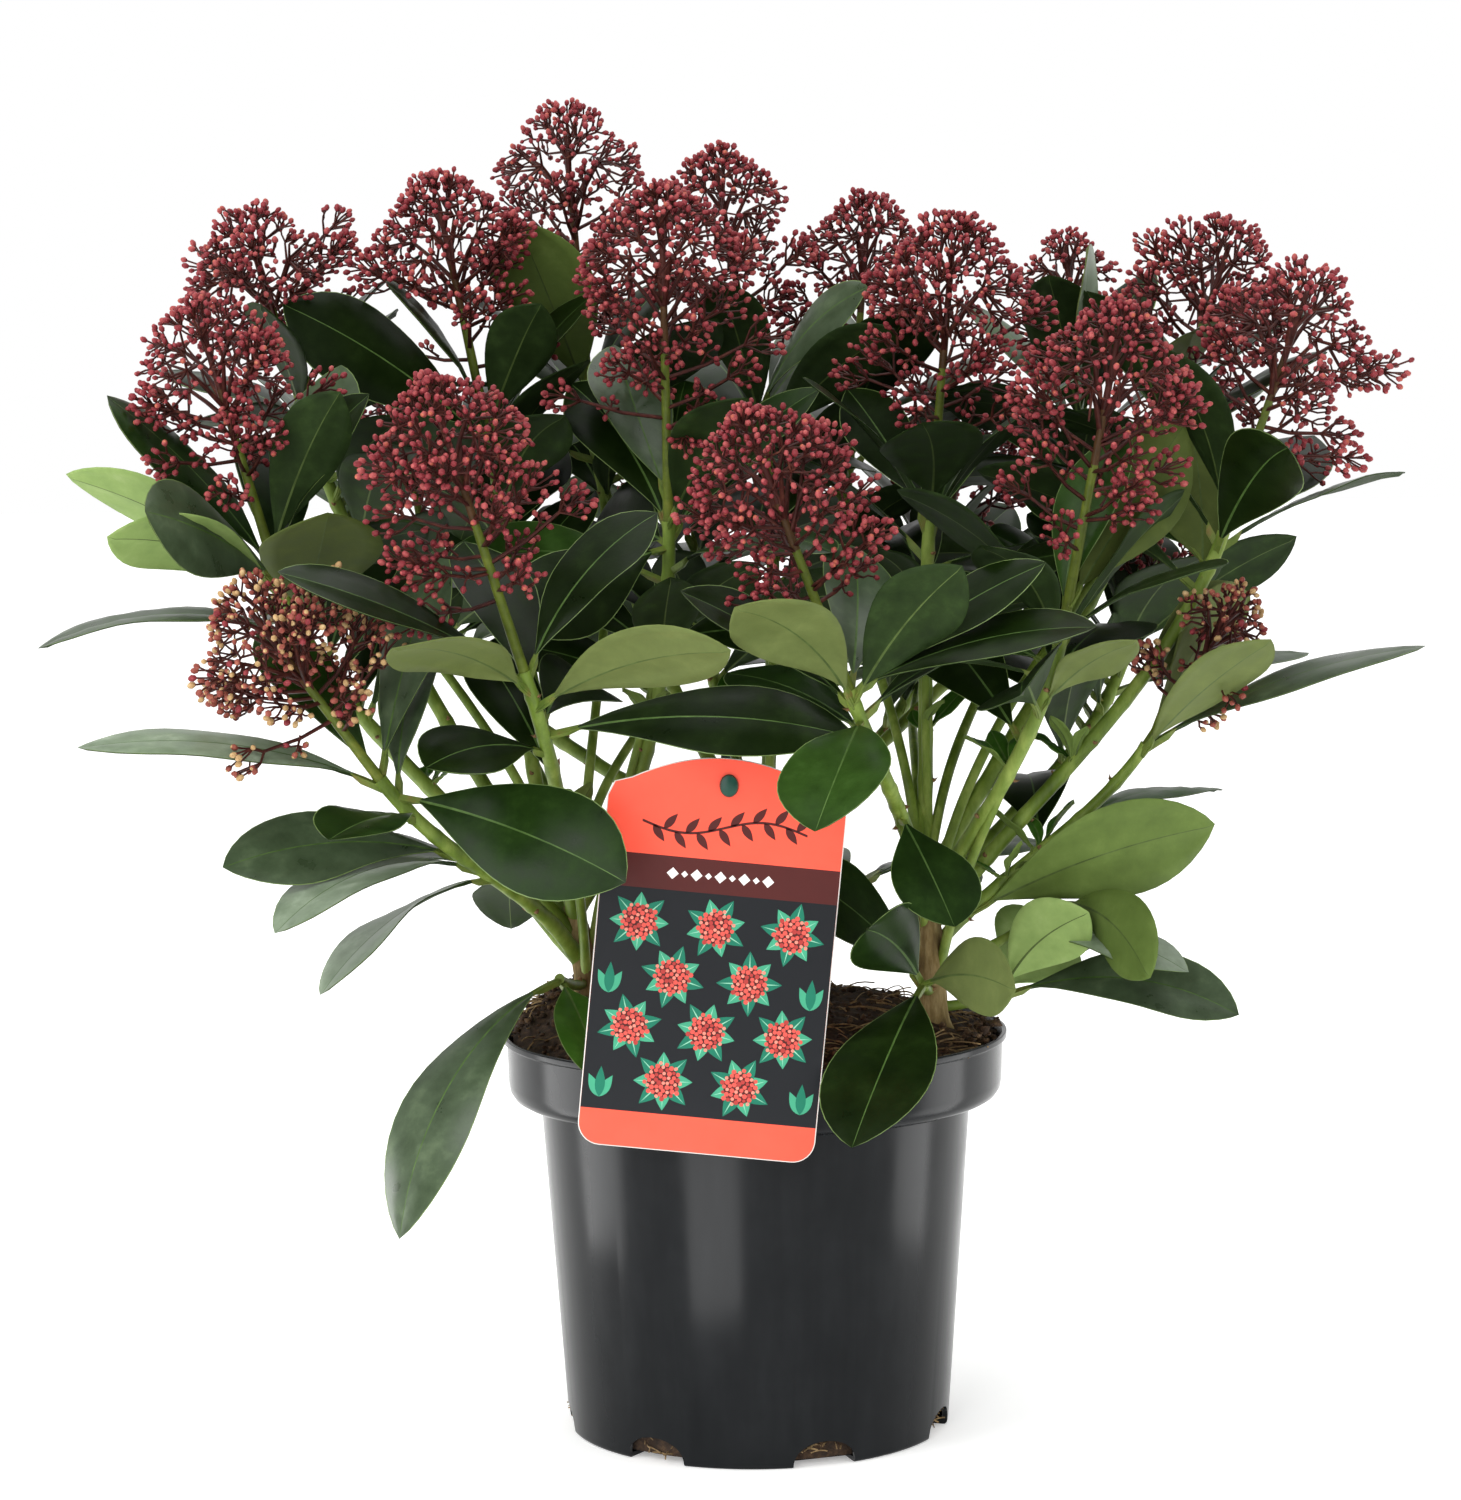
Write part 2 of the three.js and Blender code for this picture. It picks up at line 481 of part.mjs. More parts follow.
// A twig of a panicle that ends in its bud cluster, with a bare neck where it is long.
function makeCluster({ from, tip, direction, radius }) {
  const neck = tip.clone().addScaledVector(direction, -radius * 0.9);
  const bare = tip.distanceTo(from) > 2.2 * radius;
  const high = tip.clone().addScaledVector(direction, radius * 0.8);
  return loft([
    ringAround(from, direction, PANICLE.twigRadius, 4),
    ...(bare ? [ringAround(neck, direction, PANICLE.twigRadius, 4)] : []),
    ringAround(tip, direction, radius, 4), [high],
  ]);
}

// The hanging label, flat, with the middle of its hole at the origin.
function makeLabel() {
  const half = LABEL.width / 2;
  const low = LABEL.holeDrop - LABEL.height;
  const shoulder = LABEL.holeDrop - LABEL.arch;
  const outline = new THREE.Shape();
  outline.moveTo(-half, low + LABEL.corner);
  outline.quadraticCurveTo(-half, low, -half + LABEL.corner, low);
  outline.lineTo(half - LABEL.corner, low);
  outline.quadraticCurveTo(half, low, half, low + LABEL.corner);
  outline.lineTo(half, shoulder - 6);
  outline.quadraticCurveTo(half, shoulder, half - 8, shoulder + 1);
  outline.quadraticCurveTo(0, LABEL.holeDrop + LABEL.arch, -half + 8, shoulder + 1);
  outline.quadraticCurveTo(-half, shoulder, -half, shoulder - 6);
  const hole = new THREE.Path();
  hole.absarc(0, 0, LABEL.holeRadius, 0, Math.PI * 2, true);
  outline.holes.push(hole);
  const card = { depth: LABEL.thickness, bevelEnabled: false, curveSegments: 6 };
  return new THREE.ExtrudeGeometry(outline, card).rotateX(Math.PI / 2);
}

// The green stake: a rod in the compost with a headed peg that the label hangs on.
function makeStake() {
  const [foot, top, hole] = [STAKE.foot, STAKE.top, LABEL.hole].map(point);
  const ends = [0, 0.03, 0.97, 1].map((share) => foot.clone().lerp(top, share));
  const rod = limb(ends, [0.8, 1, 1, 0.8].map((share) => share * STAKE.radius), STAKE.sides);
  const peg = (from, to, radius) => (
    limb([from, to].map((y) => new THREE.Vector3(hole.x, y, hole.z)), [radius, radius], STAKE.sides));
  const behind = lerp(foot.y, top.y, (hole.z - foot.z) / (top.z - foot.z));
  const front = hole.y - LABEL.thickness - CLEAR;
  const shaft = peg(behind, front - 1, STAKE.pegRadius);
  const head = peg(front, front - STAKE.headThickness, STAKE.headRadius);
  const pitRadius = STAKE.radius + CLEAR + 0.1;
  const pit = limb([foot.clone().setZ(foot.z - CLEAR), top], [pitRadius, pitRadius], STAKE.sides);
  return { solid: rod.add(shaft).add(head), pit };
}

const skimmia = new THREE.Group();
const standing = [];                  // every piece so far, with its node's name and its extent

function stand(node, solid) {
  const { min, max } = solid.boundingBox();
  standing.push({ node, solid, min, max });
}

// Whether a solid comes too near to a piece that stands already.
function clashes(solid, counts) {
  const { min, max } = solid.boundingBox();
  return standing.some((other) => counts(other)
    && [0, 1, 2].every((axis) => other.min[axis] < max[axis] + CLEAR && other.max[axis] > min[axis] - CLEAR)
    && solid.minGap(other.solid, 2 * CLEAR) < 0.98 * CLEAR);
}

function addMesh(name, kind, geometry) {
  const [color, roughness] = PAINT[kind];
  const mesh = new THREE.Mesh(geometry, new THREE.MeshStandardMaterial({ color, roughness, metalness: 0 }));
  mesh.name = name;
  skimmia.add(mesh);
  return mesh;
}

function addSolid(name, kind, solid) {
  stand(name, solid);
  addMesh(name, kind, geometryOf(solid));
}

addSolid("pot", "pot", makePot());
const trunks = Object.fromEntries(Object.entries(TRUNKS).map(([name, size]) => [name, makeTrunk(size)]));
for (const [name, trunk] of Object.entries(trunks)) addSolid(name, "stem", trunk.solid);
const stake = makeStake();
addSolid("compost", "compost", makeCompost([...Object.values(trunks).map(({ pit }) => pit), stake.pit]));
addSolid("label_stake", "stake", stake.solid);

const label = addMesh("plant_label", "label", makeLabel());
label.position.set(...LABEL.hole);
label.rotation.y = radians(LABEL.turn);
label.updateMatrix();
stand("plant_label", solidOf(label.geometry.clone().applyMatrix4(label.matrix)));

// Boughs, each cut clear of its woody stem and of the boughs that leave beside it.
const paths = SHOOTS.map(shootPath);
const lines = SHOOTS.map((shoot, i) => boughLine(shoot, paths[i]));
SHOOTS.forEach((shoot, i) => {
  const { points, radii, end } = lines[i];
  const trunk = trunks[shoot.stem];
  const besides = lines.slice(0, i).filter((_, j) => SHOOTS[j].stem === shoot.stem);
  const cuts = [
    grownLimb(trunk.points, trunk.radii, TRUNK_SIDES),
    ...besides.map((other) => grownLimb(other.points, other.radii, BOUGH.sides)),
  ];
  const whole = limb(points, radii, BOUGH.sides, null, end);
  const cut = cuts.reduce((bough, other) => bough.subtract(other), whole);
  addSolid(`${shoot.name}_bough`, "bough", largestBody(cut));
});

// A mass starts as its stalk, with its panicle if it has one.
const masses = SHOOTS.map((shoot, i) => {
  const node = `${shoot.name}_mass`;
  const stalk = makeStalk(shoot, paths[i]);
  const seed = 11 + i * 17;
  const heads = [makeDome(shoot, paths[i], seed), ...panicleTwigs(shoot, paths[i], seed).map(makeCluster)];
  const solids = [stalk, ...heads.filter((head) => !clashes(head, () => true))];
  for (const solid of solids) stand(node, solid);
  return { node, solids, leaves: whorlLeaves(shoot, paths[i], 101 + i * 31) };
});
for (const sprig of SPRIGS) {
  const node = `${sprig.name}_mass`;
  const path = sprigPath(sprig);
  const trunk = trunks[sprig.stem];
  const whole = limb(path.points, SPRIG_RADII, STALK.sides);
  const stalk = largestBody(whole.subtract(grownLimb(trunk.points, trunk.radii, TRUNK_SIDES)));
  stand(node, stalk);
  masses.push({ node, solids: [stalk], leaves: whorlLeaves(sprig, path, 0) });
}

// Leaves take their places in turn, the marked ones first. One that would touch another piece
// is swung or raised a little, and is skipped where no try is clear.
for (const marked of [true, false]) {
  for (const { node, solids, leaves } of masses) {
    for (const leaf of leaves.filter((one) => Boolean(one.marked) === marked)) {
      for (const [swing, raise] of LEAF_TRIES) {
        const tried = { ...leaf, turn: leaf.turn + swing, lift: leaf.lift + raise };
        const blade = makeLeaf(tried);
        const outer = makeLeaf(tried, [0.3, 0.5, 0.76]);
        if (clashes(blade, (other) => other.node !== node)) continue;
        if (clashes(outer, (other) => other.node === node)) continue;
        stand(node, blade);
        solids.push(blade);
        break;
      }
    }
  }
}
for (const { node, solids } of masses) {
  addMesh(node, "mass", geometryOf(largestBody(wasm.Manifold.union(solids))));
}

export default skimmia;
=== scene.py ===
import math

import bpy
import numpy as np
from mathutils import Matrix, Vector, noise
from mathutils.bvhtree import BVHTree


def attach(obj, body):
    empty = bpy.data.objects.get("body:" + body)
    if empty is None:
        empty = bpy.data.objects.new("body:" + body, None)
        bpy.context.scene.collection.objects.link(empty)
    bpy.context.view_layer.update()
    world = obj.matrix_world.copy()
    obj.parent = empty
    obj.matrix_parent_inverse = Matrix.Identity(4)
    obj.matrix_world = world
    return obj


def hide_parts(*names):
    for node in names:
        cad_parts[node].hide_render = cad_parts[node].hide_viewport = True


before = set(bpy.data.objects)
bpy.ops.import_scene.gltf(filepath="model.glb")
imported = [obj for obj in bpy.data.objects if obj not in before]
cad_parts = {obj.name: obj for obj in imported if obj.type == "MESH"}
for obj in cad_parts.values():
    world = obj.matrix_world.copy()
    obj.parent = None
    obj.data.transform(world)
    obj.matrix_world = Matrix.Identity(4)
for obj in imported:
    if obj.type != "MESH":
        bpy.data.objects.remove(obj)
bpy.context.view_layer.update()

MM = 0.001
GOLDEN_ANGLE = 137.5            # degrees from one leaf or side twig to the next

POT = dict(height=150, rim=95, lip=3, collar=93.4, collar_foot=92.8, collar_height=25, rounding=7,
           body_top=81, base=72, wall=1.6, sides=160)
DRAIN = dict(count=7, first_turn=238, width=24, height=9.5, depth=11)
COMPOST = dict(edge=145, mound=160, gap=0.25, sides=200)
HEAP = dict(x=-66, y=18, radius=46, height=12)

# Woody stems: foot, fork, and the radius at each.
TRUNKS = {
    "right_stem": ((67, -20, 150), (62, -17, 208), 8.5, 6.2),
    "left_stem": ((-62, -2, 153), (-68, 4, 196), 8, 5.8),
    "back_stem": ((4, 40, 152), (6, 46, 206), 8, 5.8),
}
FLARE = dict(height=9, spread=1.45)
BARE_WOOD = 0.7                 # girth of the bare wood against the solids, by the photo
LEAFY = 38                      # leafy stem under a whorl
BOUGH = dict(foot=3.0, whorl=2.4, rachis=2.0, top=1.0, side_foot=2.0, side_top=1.6)

# Shoots as in the solids: stem, rise up it, whorl, apex, then what differs from the rule. marked
# leaves are turn, lift, length, width, droop, roll and distance under the whorl.
SHOOTS = [
    dict(name="front_mid", stem="right_stem", rise=0.95, whorl=(34, -110, 286), apex=(-3, -120, 386),
         marked=[(230, 30, 76, 34, 45, 35, 6), (255, -25, 76, 38, 40, 0, 12), (340, 15, 92, 34, 30, 30, 1)]),
    dict(name="right_front", stem="right_stem", rise=0.8, whorl=(112, -60, 303), apex=(134, -70, 422),
         marked=[(310, 50, 88, 40, 15, 0, -8), (315, 20, 80, 34, 30, 25, 2)]),
    dict(name="low_right", stem="right_stem", rise=0.5, whorl=(146, -20, 258), apex=(183, -30, 317),
         size=0.6, leafy=98, leaves=6,
         marked=[(320, 35, 78, 30, 20, -10, 4), (350, 20, 110, 32, 30, 20, 1), (355, 20, 98, 42, 20, -60, 92),
                 (40, 5, 80, 32, 30, 20, 40)]),
    dict(name="far_right", stem="right_stem", rise=0.65, whorl=(176, -10, 336), apex=(211, -10, 436),
         size=1.1, marked=[(55, 25, 82, 34, 20, 20, 0), (30, 20, 94, 30, 25, 25, 6)]),
    dict(name="far_right_back", stem="right_stem", rise=0.9, whorl=(164, 60, 377), apex=(192, 70, 456)),
    dict(name="mid_right", stem="right_stem", rise=1, whorl=(68, 10, 341), apex=(78, 0, 457),
         size=1.1, marked=[(265, 25, 78, 38, 30, 0, -4), (305, 15, 92, 40, 30, 30, 34)]),
    dict(name="low_left", stem="left_stem", rise=0.5, whorl=(-131, -90, 255), apex=(-182, -100, 326),
         leafy=84, leaves=5,
         marked=[(190, 9, 110, 30, 35, -20, 4), (50, 68, 88, 34, 10, 0, 0), (150, 50, 80, 32, 20, 0, 0),
                 (250, 0, 70, 30, 30, 0, 20), (200, 0, 88, 34, 40, -45, 48), (225, -10, 92, 34, 60, -30, 60),
                 (220, -25, 86, 30, 50, 20, 68), (330, -15, 100, 42, 25, 50, 8)]),
    dict(name="front_left", stem="left_stem", rise=0.9, whorl=(-79, -100, 293), apex=(-111, -110, 398),
         leafy=46,
         marked=[(185, 25, 96, 32, 25, -35, 4), (235, 15, 78, 34, 40, 30, 8), (325, 15, 88, 34, 30, -30, 14),
                 (350, 0, 112, 34, 35, 35, 26), (235, 0, 68, 30, 30, -30, 34)]),
    dict(name="left", stem="left_stem", rise=0.7, whorl=(-174, -30, 328), apex=(-201, -40, 428),
         marked=[(190, 48, 90, 36, 20, -35, 4), (190, 30, 92, 32, 25, 40, 12), (225, 15, 80, 32, 25, 30, 8),
                 (45, 60, 84, 36, 10, 0, -4), (200, 0, 102, 26, 50, -15, 30)]),
    dict(name="back_left", stem="left_stem", rise=0.8, whorl=(-174, 60, 389), apex=(-194, 50, 465)),
    dict(name="left_mid", stem="left_stem", rise=1, whorl=(-99, 40, 372), apex=(-119, 30, 476),
         marked=[(190, 35, 96, 40, 20, -50, 2)]),
    dict(name="centre", stem="left_stem", rise=0.95, whorl=(-30, 0, 342), apex=(-31, -10, 469),
         size=1.1, marked=[(115, 60, 76, 36, 10, 10, -8), (225, -20, 82, 36, 30, -40, 10)]),
    dict(name="top_back", stem="back_stem", rise=1, whorl=(-63, 100, 387), apex=(-72, 100, 507),
         marked=[(245, 50, 90, 42, 10, 0, 0)]),
    dict(name="centre_back", stem="back_stem", rise=1, whorl=(5, 80, 379), apex=(-13, 90, 488),
         size=0.85, marked=[(45, 40, 80, 34, 25, 10, -2)]),
    dict(name="mid_back", stem="back_stem", rise=0.95, whorl=(41, 100, 374), apex=(50, 110, 470),
         size=0.85, marked=[(290, 35, 84, 38, 20, 0, 0)]),
    dict(name="right_back", stem="back_stem", rise=0.9, whorl=(136, 140, 373), apex=(131, 150, 456),
         size=0.65),
    dict(name="rear_left", stem="back_stem", rise=0.7, whorl=(-130, 130, 315), apex=(-146, 152, 402),
         size=0.9),
    dict(name="rear_mid", stem="back_stem", rise=0.8, whorl=(-22, 150, 325), apex=(-26, 176, 415),
         size=0.9),
    dict(name="rear_right", stem="back_stem", rise=0.75, whorl=(78, 150, 300), apex=(92, 178, 388),
         size=0.9),
    dict(name="rear_far_right", stem="right_stem", rise=0.6, whorl=(150, 95, 285), apex=(178, 118, 366),
         size=0.8),
]

# Low leafy sprigs with no flowers.
SPRIGS = [
    dict(name="low_front_left", stem="left_stem", rise=0.35, whorl=(-71, -48, 177),
         marked=[(227, -46, 124, 36, 75, -10, 0), (281, -30, 64, 26, 40, 0, 4)]),
    dict(name="low_front_right", stem="right_stem", rise=0.3, whorl=(61, -58, 175),
         marked=[(240, -30, 92, 40, 35, 0, 0), (318, 18, 64, 28, 20, 40, 3), (275, 38, 62, 30, 30, 0, 0),
                 (190, 42, 66, 36, 30, -40, 2)]),
    dict(name="low_edge_right", stem="right_stem", rise=0.18, whorl=(93, -14, 164),
         marked=[(350, -4, 90, 30, 45, 30, 0), (60, 8, 72, 28, 40, 0, 2)]),
    dict(name="low_far_right", stem="right_stem", rise=0.4, whorl=(116, -8, 197),
         marked=[(296, -18, 66, 28, 45, 0, 0), (29, -30, 66, 22, 40, 10, 2), (335, 0, 70, 28, 50, 25, 20)]),
    dict(name="low_rear_left", stem="left_stem", rise=0.5, whorl=(-96, 48, 205),
         marked=[(150, -5, 92, 32, 40, 0, 0), (95, -20, 84, 30, 50, 0, 8), (200, 12, 80, 30, 40, 0, 4)]),
    dict(name="low_rear_right", stem="back_stem", rise=0.4, whorl=(44, 84, 196),
         marked=[(60, -10, 96, 34, 50, 0, 0), (110, 0, 88, 32, 45, 0, 6), (10, 10, 80, 30, 35, 0, 3)]),
]
LEAF = dict(length=92, count=10, thickness=0.5, petiole=1.3, petiole_share=0.09, margin=0.34, midrib=0.42)
LEAF_KEYS = ("turn", "lift", "length", "width", "droop", "roll", "below")
# Swing and raise, in degrees, of a leaf that looks for a clear place.
LEAF_TRIES = [(0, 0), (9, 0), (-9, 0), (0, 10), (0, -10), (16, 6), (-16, 6), (12, -10), (-12, -10),
              (24, 14), (-24, 14)]
PANICLE = dict(side_twigs=4, reach=33, cluster=9, dome=31, dome_height=29, dome_drop=27, hollow=0.78,
               buds=345, inner_buds=120, cluster_buds=24, skirt_twigs=12, skirt_buds=21, lobe_knots=4)
DRAWN_BEFORE_LOBES = 42         # numbers that the solid draws before it turns the lobes of a dome
# Radii of a panicle's twigs at foot and tip, and the room that they and the buds keep from leaves.
TWIGS = dict(lobe=(1.15, 0.8), side=(0.95, 0.75), fork=(0.6, 0.5), knot=(0.66, 0.5), from_knot=(0.48, 0.42),
             to_bud=(0.44, 0.4))
ROOM, KNOT_ROOM = 0.8, 0.6
BUD = dict(radius=1.17, length=2.9)
# Panicles whose lobes stand apart with sky between them, and those that have faded.
OPEN_PANICLES = {"far_right", "far_right_back", "right_back", "left", "back_left", "top_back",
                 "low_left", "low_right"}
FADED_PANICLES = {"low_left", "low_right"}

LABEL = dict(width=84, height=140, thickness=1, corner=8, arch=10, hole_radius=3.2, hole_drop=9,
             hole=(-8, -97.4, 252), turn=6)
STAKE = dict(radius=2.4, foot=(-13, -84, 132), top=(-9, -92.5, 264), peg=2.2, head=4.6, head_thickness=1.8)

CAMERA = dict(distance=1415, height=382, pitch=-5.1, yaw=0.32, roll=0.67, focal_px=3785)
PHOTO_LONG_SIDE_PX = 1500
SENSOR = 36                     # width of the camera's sensor
FLOOR_REACH = 14000             # how far the floor goes to each side


# Numbers, directions and curves

def lerp(start, end, share):
    """The value at a share of the way from start to end."""
    return start + (end - start) * share


def seeded(seed):
    """Seeded random numbers from 0 to 1, the same as the solids grow by."""
    word = 0xFFFFFFFF
    state = seed & word

    def draw():
        nonlocal state
        state = (state + 0x6D2B79F5) & word
        mixed = ((state ^ (state >> 15)) * (1 | state)) & word
        mixed = ((mixed + (((mixed ^ (mixed >> 7)) * (61 | mixed)) & word)) & word) ^ mixed
        return ((mixed ^ (mixed >> 14)) & word) / (word + 1)

    return draw


def unit(ways):
    """Directions of length one, from one direction or many."""
    ways = np.asarray(ways, float)
    return ways / np.linalg.norm(ways, axis=-1, keepdims=True)


def even_turns(count):
    """Angles spread evenly round a circle."""
    return np.arange(count) / count * 2 * math.pi


def square_to(direction, hint):
    """Two unit directions square to the given one, the first as near to the hint as it goes."""
    side = unit(hint - direction * (direction @ np.array(hint, float)))
    return side, np.cross(direction, side)


def rings_square_to(ways, sides):
    """For each of many directions, a ring of unit directions square to it."""
    hint = np.where(np.abs(ways[:, 2:]) > 0.9, [[1.0, 0.2, 0]], [[0.1, 0.3, 1.0]])
    side = unit(hint - ways * np.sum(hint * ways, 1, keepdims=True))
    across = np.cross(ways, side)
    turns = even_turns(sides)[None, :, None]
    return np.cos(turns) * side[:, None] + np.sin(turns) * across[:, None]


def bent(start, bend, end, share):
    """A curve from start to end that is drawn towards the bend, at shares of its way."""
    return start * (1 - share)**2 + 2 * bend * share * (1 - share) + end * share**2


def bent_twice(start, near, far, end, count):
    """A curve of points that leaves its start towards one point and comes to its end from another."""
    share = np.linspace(0, 1, count)[:, None]
    rest = 1 - share
    return start * rest**3 + 3 * near * share * rest**2 + 3 * far * share**2 * rest + end * share**3


def lengths_along(line):
    """The length of a line of points up to each of them."""
    return np.concatenate([[0], np.cumsum(np.linalg.norm(np.diff(line, axis=0), axis=1))])


# Meshes

class Skin:
    """The points and faces of a piece while it grows. Each face has the number of its finish."""

    def __init__(self):
        self.points, self.faces, self.finishes, self.count = [], [], [], 0

    def add(self, points, faces, finishes):
        """Adds points and the faces over them, with one finish for all faces or one for each."""
        start = self.count
        self.points.append(np.asarray(points, float).reshape(-1, 3))
        self.faces.extend([tuple(start + k for k in face) for face in faces])
        self.finishes.extend([finishes] * len(faces) if np.isscalar(finishes) else finishes)
        self.count += len(self.points[-1])


def new_object(name, points, faces):
    """An object in the scene, from points in millimetres."""
    mesh = bpy.data.meshes.new(name)
    mesh.from_pydata((np.asarray(points) * MM).tolist(), [], faces)
    made = bpy.data.objects.new(name, mesh)
    bpy.context.scene.collection.objects.link(made)
    return made


def make_piece(name, skin, finishes, slot, crease, *replaced):
    """A piece of the scene. Edges sharper than the crease, in degrees, stay sharp."""
    piece = new_object(name, np.concatenate(skin.points), skin.faces)
    mesh = piece.data
    for finish in finishes:
        mesh.materials.append(finish)
    mesh.polygons.foreach_set("material_index", np.array(skin.finishes, np.int32))
    mesh.polygons.foreach_set("use_smooth", np.ones(len(skin.faces), bool))
    mesh.set_sharp_from_angle(angle=math.radians(crease))
    mesh.update()
    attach(piece, "root")
    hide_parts(*replaced)


def grid_faces(rows, columns):
    """Faces over rings of points, each ring with as many points as there are columns."""
    r = np.arange(rows - 1)[:, None] * columns
    c = np.arange(columns)[None, :]
    after = (c + 1) % columns
    return np.stack([r + c, r + after, r + columns + after, r + columns + c], -1).reshape(-1, 4).tolist()


def tube(line, radii, sides, relief=None):
    """Rings round a line of points. Rings don't twist, and relief(row, turns) adds to the radius."""
    ways = unit(np.gradient(line, axis=0))
    side = np.array([0.3, 1, 0.1])
    turns = even_turns(sides)
    rings = []
    for row, (centre, way, radius) in enumerate(zip(line, ways, radii)):
        side = unit(side - way * (side @ way))
        across = np.cross(way, side)
        out = radius + (relief(row, turns) if relief else 0)
        rings.append(centre + np.outer(np.cos(turns) * out, side) + np.outer(np.sin(turns) * out, across))
    return np.array(rings)


def closed_rings(rings, first_centre, last_centre):
    """Points and faces of a skin over rings of points, with a cap of triangles at each end."""
    rows, sides = rings.shape[:2]
    points = np.concatenate([rings.reshape(-1, 3), [first_centre, last_centre]])
    last = (rows - 1) * sides
    around = [(k, (k + 1) % sides) for k in range(sides)]
    first_cap = [(b, a, rows * sides) for a, b in around]
    last_cap = [(last + a, last + b, rows * sides + 1) for a, b in around]
    return points, grid_faces(rows, sides) + first_cap + last_cap


def add_tube(skin, rings, finish):
    """A tube's skin, of one finish or of one for each face between its ends."""
    points, faces = closed_rings(rings, rings[0].mean(0), rings[-1].mean(0))
    skin.add(points, faces, finish if np.isscalar(finish) else finish + finish[-1:] * 2 * rings.shape[1])


def add_rods(skin, starts, ends, start_radii, end_radii, sides, finish):
    """Many straight tapered twigs at once, open at both ends, which lie in other pieces."""
    ring = rings_square_to(unit(ends - starts), sides)
    rings = np.stack([starts[:, None] + ring * start_radii[:, None, None],
                      ends[:, None] + ring * end_radii[:, None, None]], 1)
    shifts = np.arange(len(starts))[:, None, None] * 2 * sides
    skin.add(rings, (np.array(grid_faces(2, sides)) + shifts).reshape(-1, 4).tolist(), finish)


def corners_of(node_name):
    """The corners of a solid of the frame, in millimetres."""
    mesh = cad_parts[node_name].data
    corners = np.empty(len(mesh.vertices) * 3)
    mesh.vertices.foreach_get("co", corners)
    return corners.reshape(-1, 3) / MM


def stands(corners, place):
    """Whether the solid has a corner at the place, so that what ends there grew in it."""
    return np.linalg.norm(corners - place, axis=1).min() < 0.2


# Limbs by the source's rule

def on_trunk(stem, rise):
    """The point of a woody stem's centre line at a share of its rise."""
    foot, fork = TRUNKS[stem][:2]
    return lerp(np.array(foot, float), np.array(fork, float), rise)


def by_length(curve):
    """A curve of points and its length, with a function from a share of the length to a point."""
    along = lengths_along(curve)

    def at(share):
        reached = np.asarray(share) * along[-1]
        return np.stack([np.interp(reached, along, curve[:, k]) for k in range(3)], -1)

    return at, along[-1]


def shoot_path(shoot):
    """A bough that leaves its stem outward and bends up to the whorl, and a straight flower stalk."""
    start = on_trunk(shoot["stem"], shoot["rise"])
    whorl, apex = np.array(shoot["whorl"], float), np.array(shoot["apex"], float)
    reach = np.linalg.norm(whorl - start)
    outward = unit((whorl - start) * [1, 1, 0])
    near = start + (outward * 0.6 + [0, 0, 0.8]) * reach * 0.33
    stalk = unit(apex - whorl)
    far = whorl - stalk * reach * 0.33
    at, length = by_length(bent_twice(start, near, far, whorl, 241))
    return dict(at=at, length=length, whorl=whorl, apex=apex, stalk=stalk, size=shoot.get("size", 1))


def sprig_path(sprig):
    """A thin stem that sags a little on its way out and ends in an upright bud."""
    start, whorl = on_trunk(sprig["stem"], sprig["rise"]), np.array(sprig["whorl"], float)
    middle = (start + whorl) / 2 - [0, 0, 0.06 * np.linalg.norm(whorl - start)]
    at, length = by_length(bent(start, middle, whorl, np.linspace(0, 1, 121)[:, None]))
    return dict(at=at, length=length, whorl=whorl, stalk=np.array([0.0, 0, 1]))


# Leaves by the source's rule

def leaf_root(path, below):
    """Where a leaf sits: on the bough under the whorl, or on the flower stalk over it."""
    if below > 0:
        return path["at"](1 - below / path["length"])
    return path["whorl"] - path["stalk"] * below


def whorl_leaves(shoot, path, seed):
    """The leaves of a shoot: the marked ones, then those that climb by the golden angle."""
    random = seeded(seed)
    leafy = shoot.get("leafy", LEAFY)
    count = shoot.get("leaves", LEAF["count"] if "apex" in shoot else 0)
    leaves = [dict(zip(LEAF_KEYS, marked)) for marked in shoot.get("marked", [])]
    turns = [leaf["turn"] for leaf in leaves]
    turn = random() * 360
    for i in range(count):
        climb = i / (count - 1)
        turn += GOLDEN_ANGLE + (random() - 0.5) * 24
        lift = lerp(4, 60, climb**1.2) + (random() - 0.5) * 24
        length = LEAF["length"] * lerp(1.04, 0.8, climb) * lerp(0.88, 1.1, random())
        droop, roll = lerp(22, 52, random()), (random() - 0.5) * 80
        width = length * lerp(0.34, 0.41, random())
        below = lerp(leafy - 5, -3, climb**0.6)
        if all(abs((turn - other + 180) % 360 - 180) >= 26 for other in turns):
            leaves.append(dict(zip(LEAF_KEYS, (turn, lift, length, width, droop, roll, below))))
    for leaf in leaves:
        leaf["root"] = leaf_root(path, leaf["below"])
    return leaves


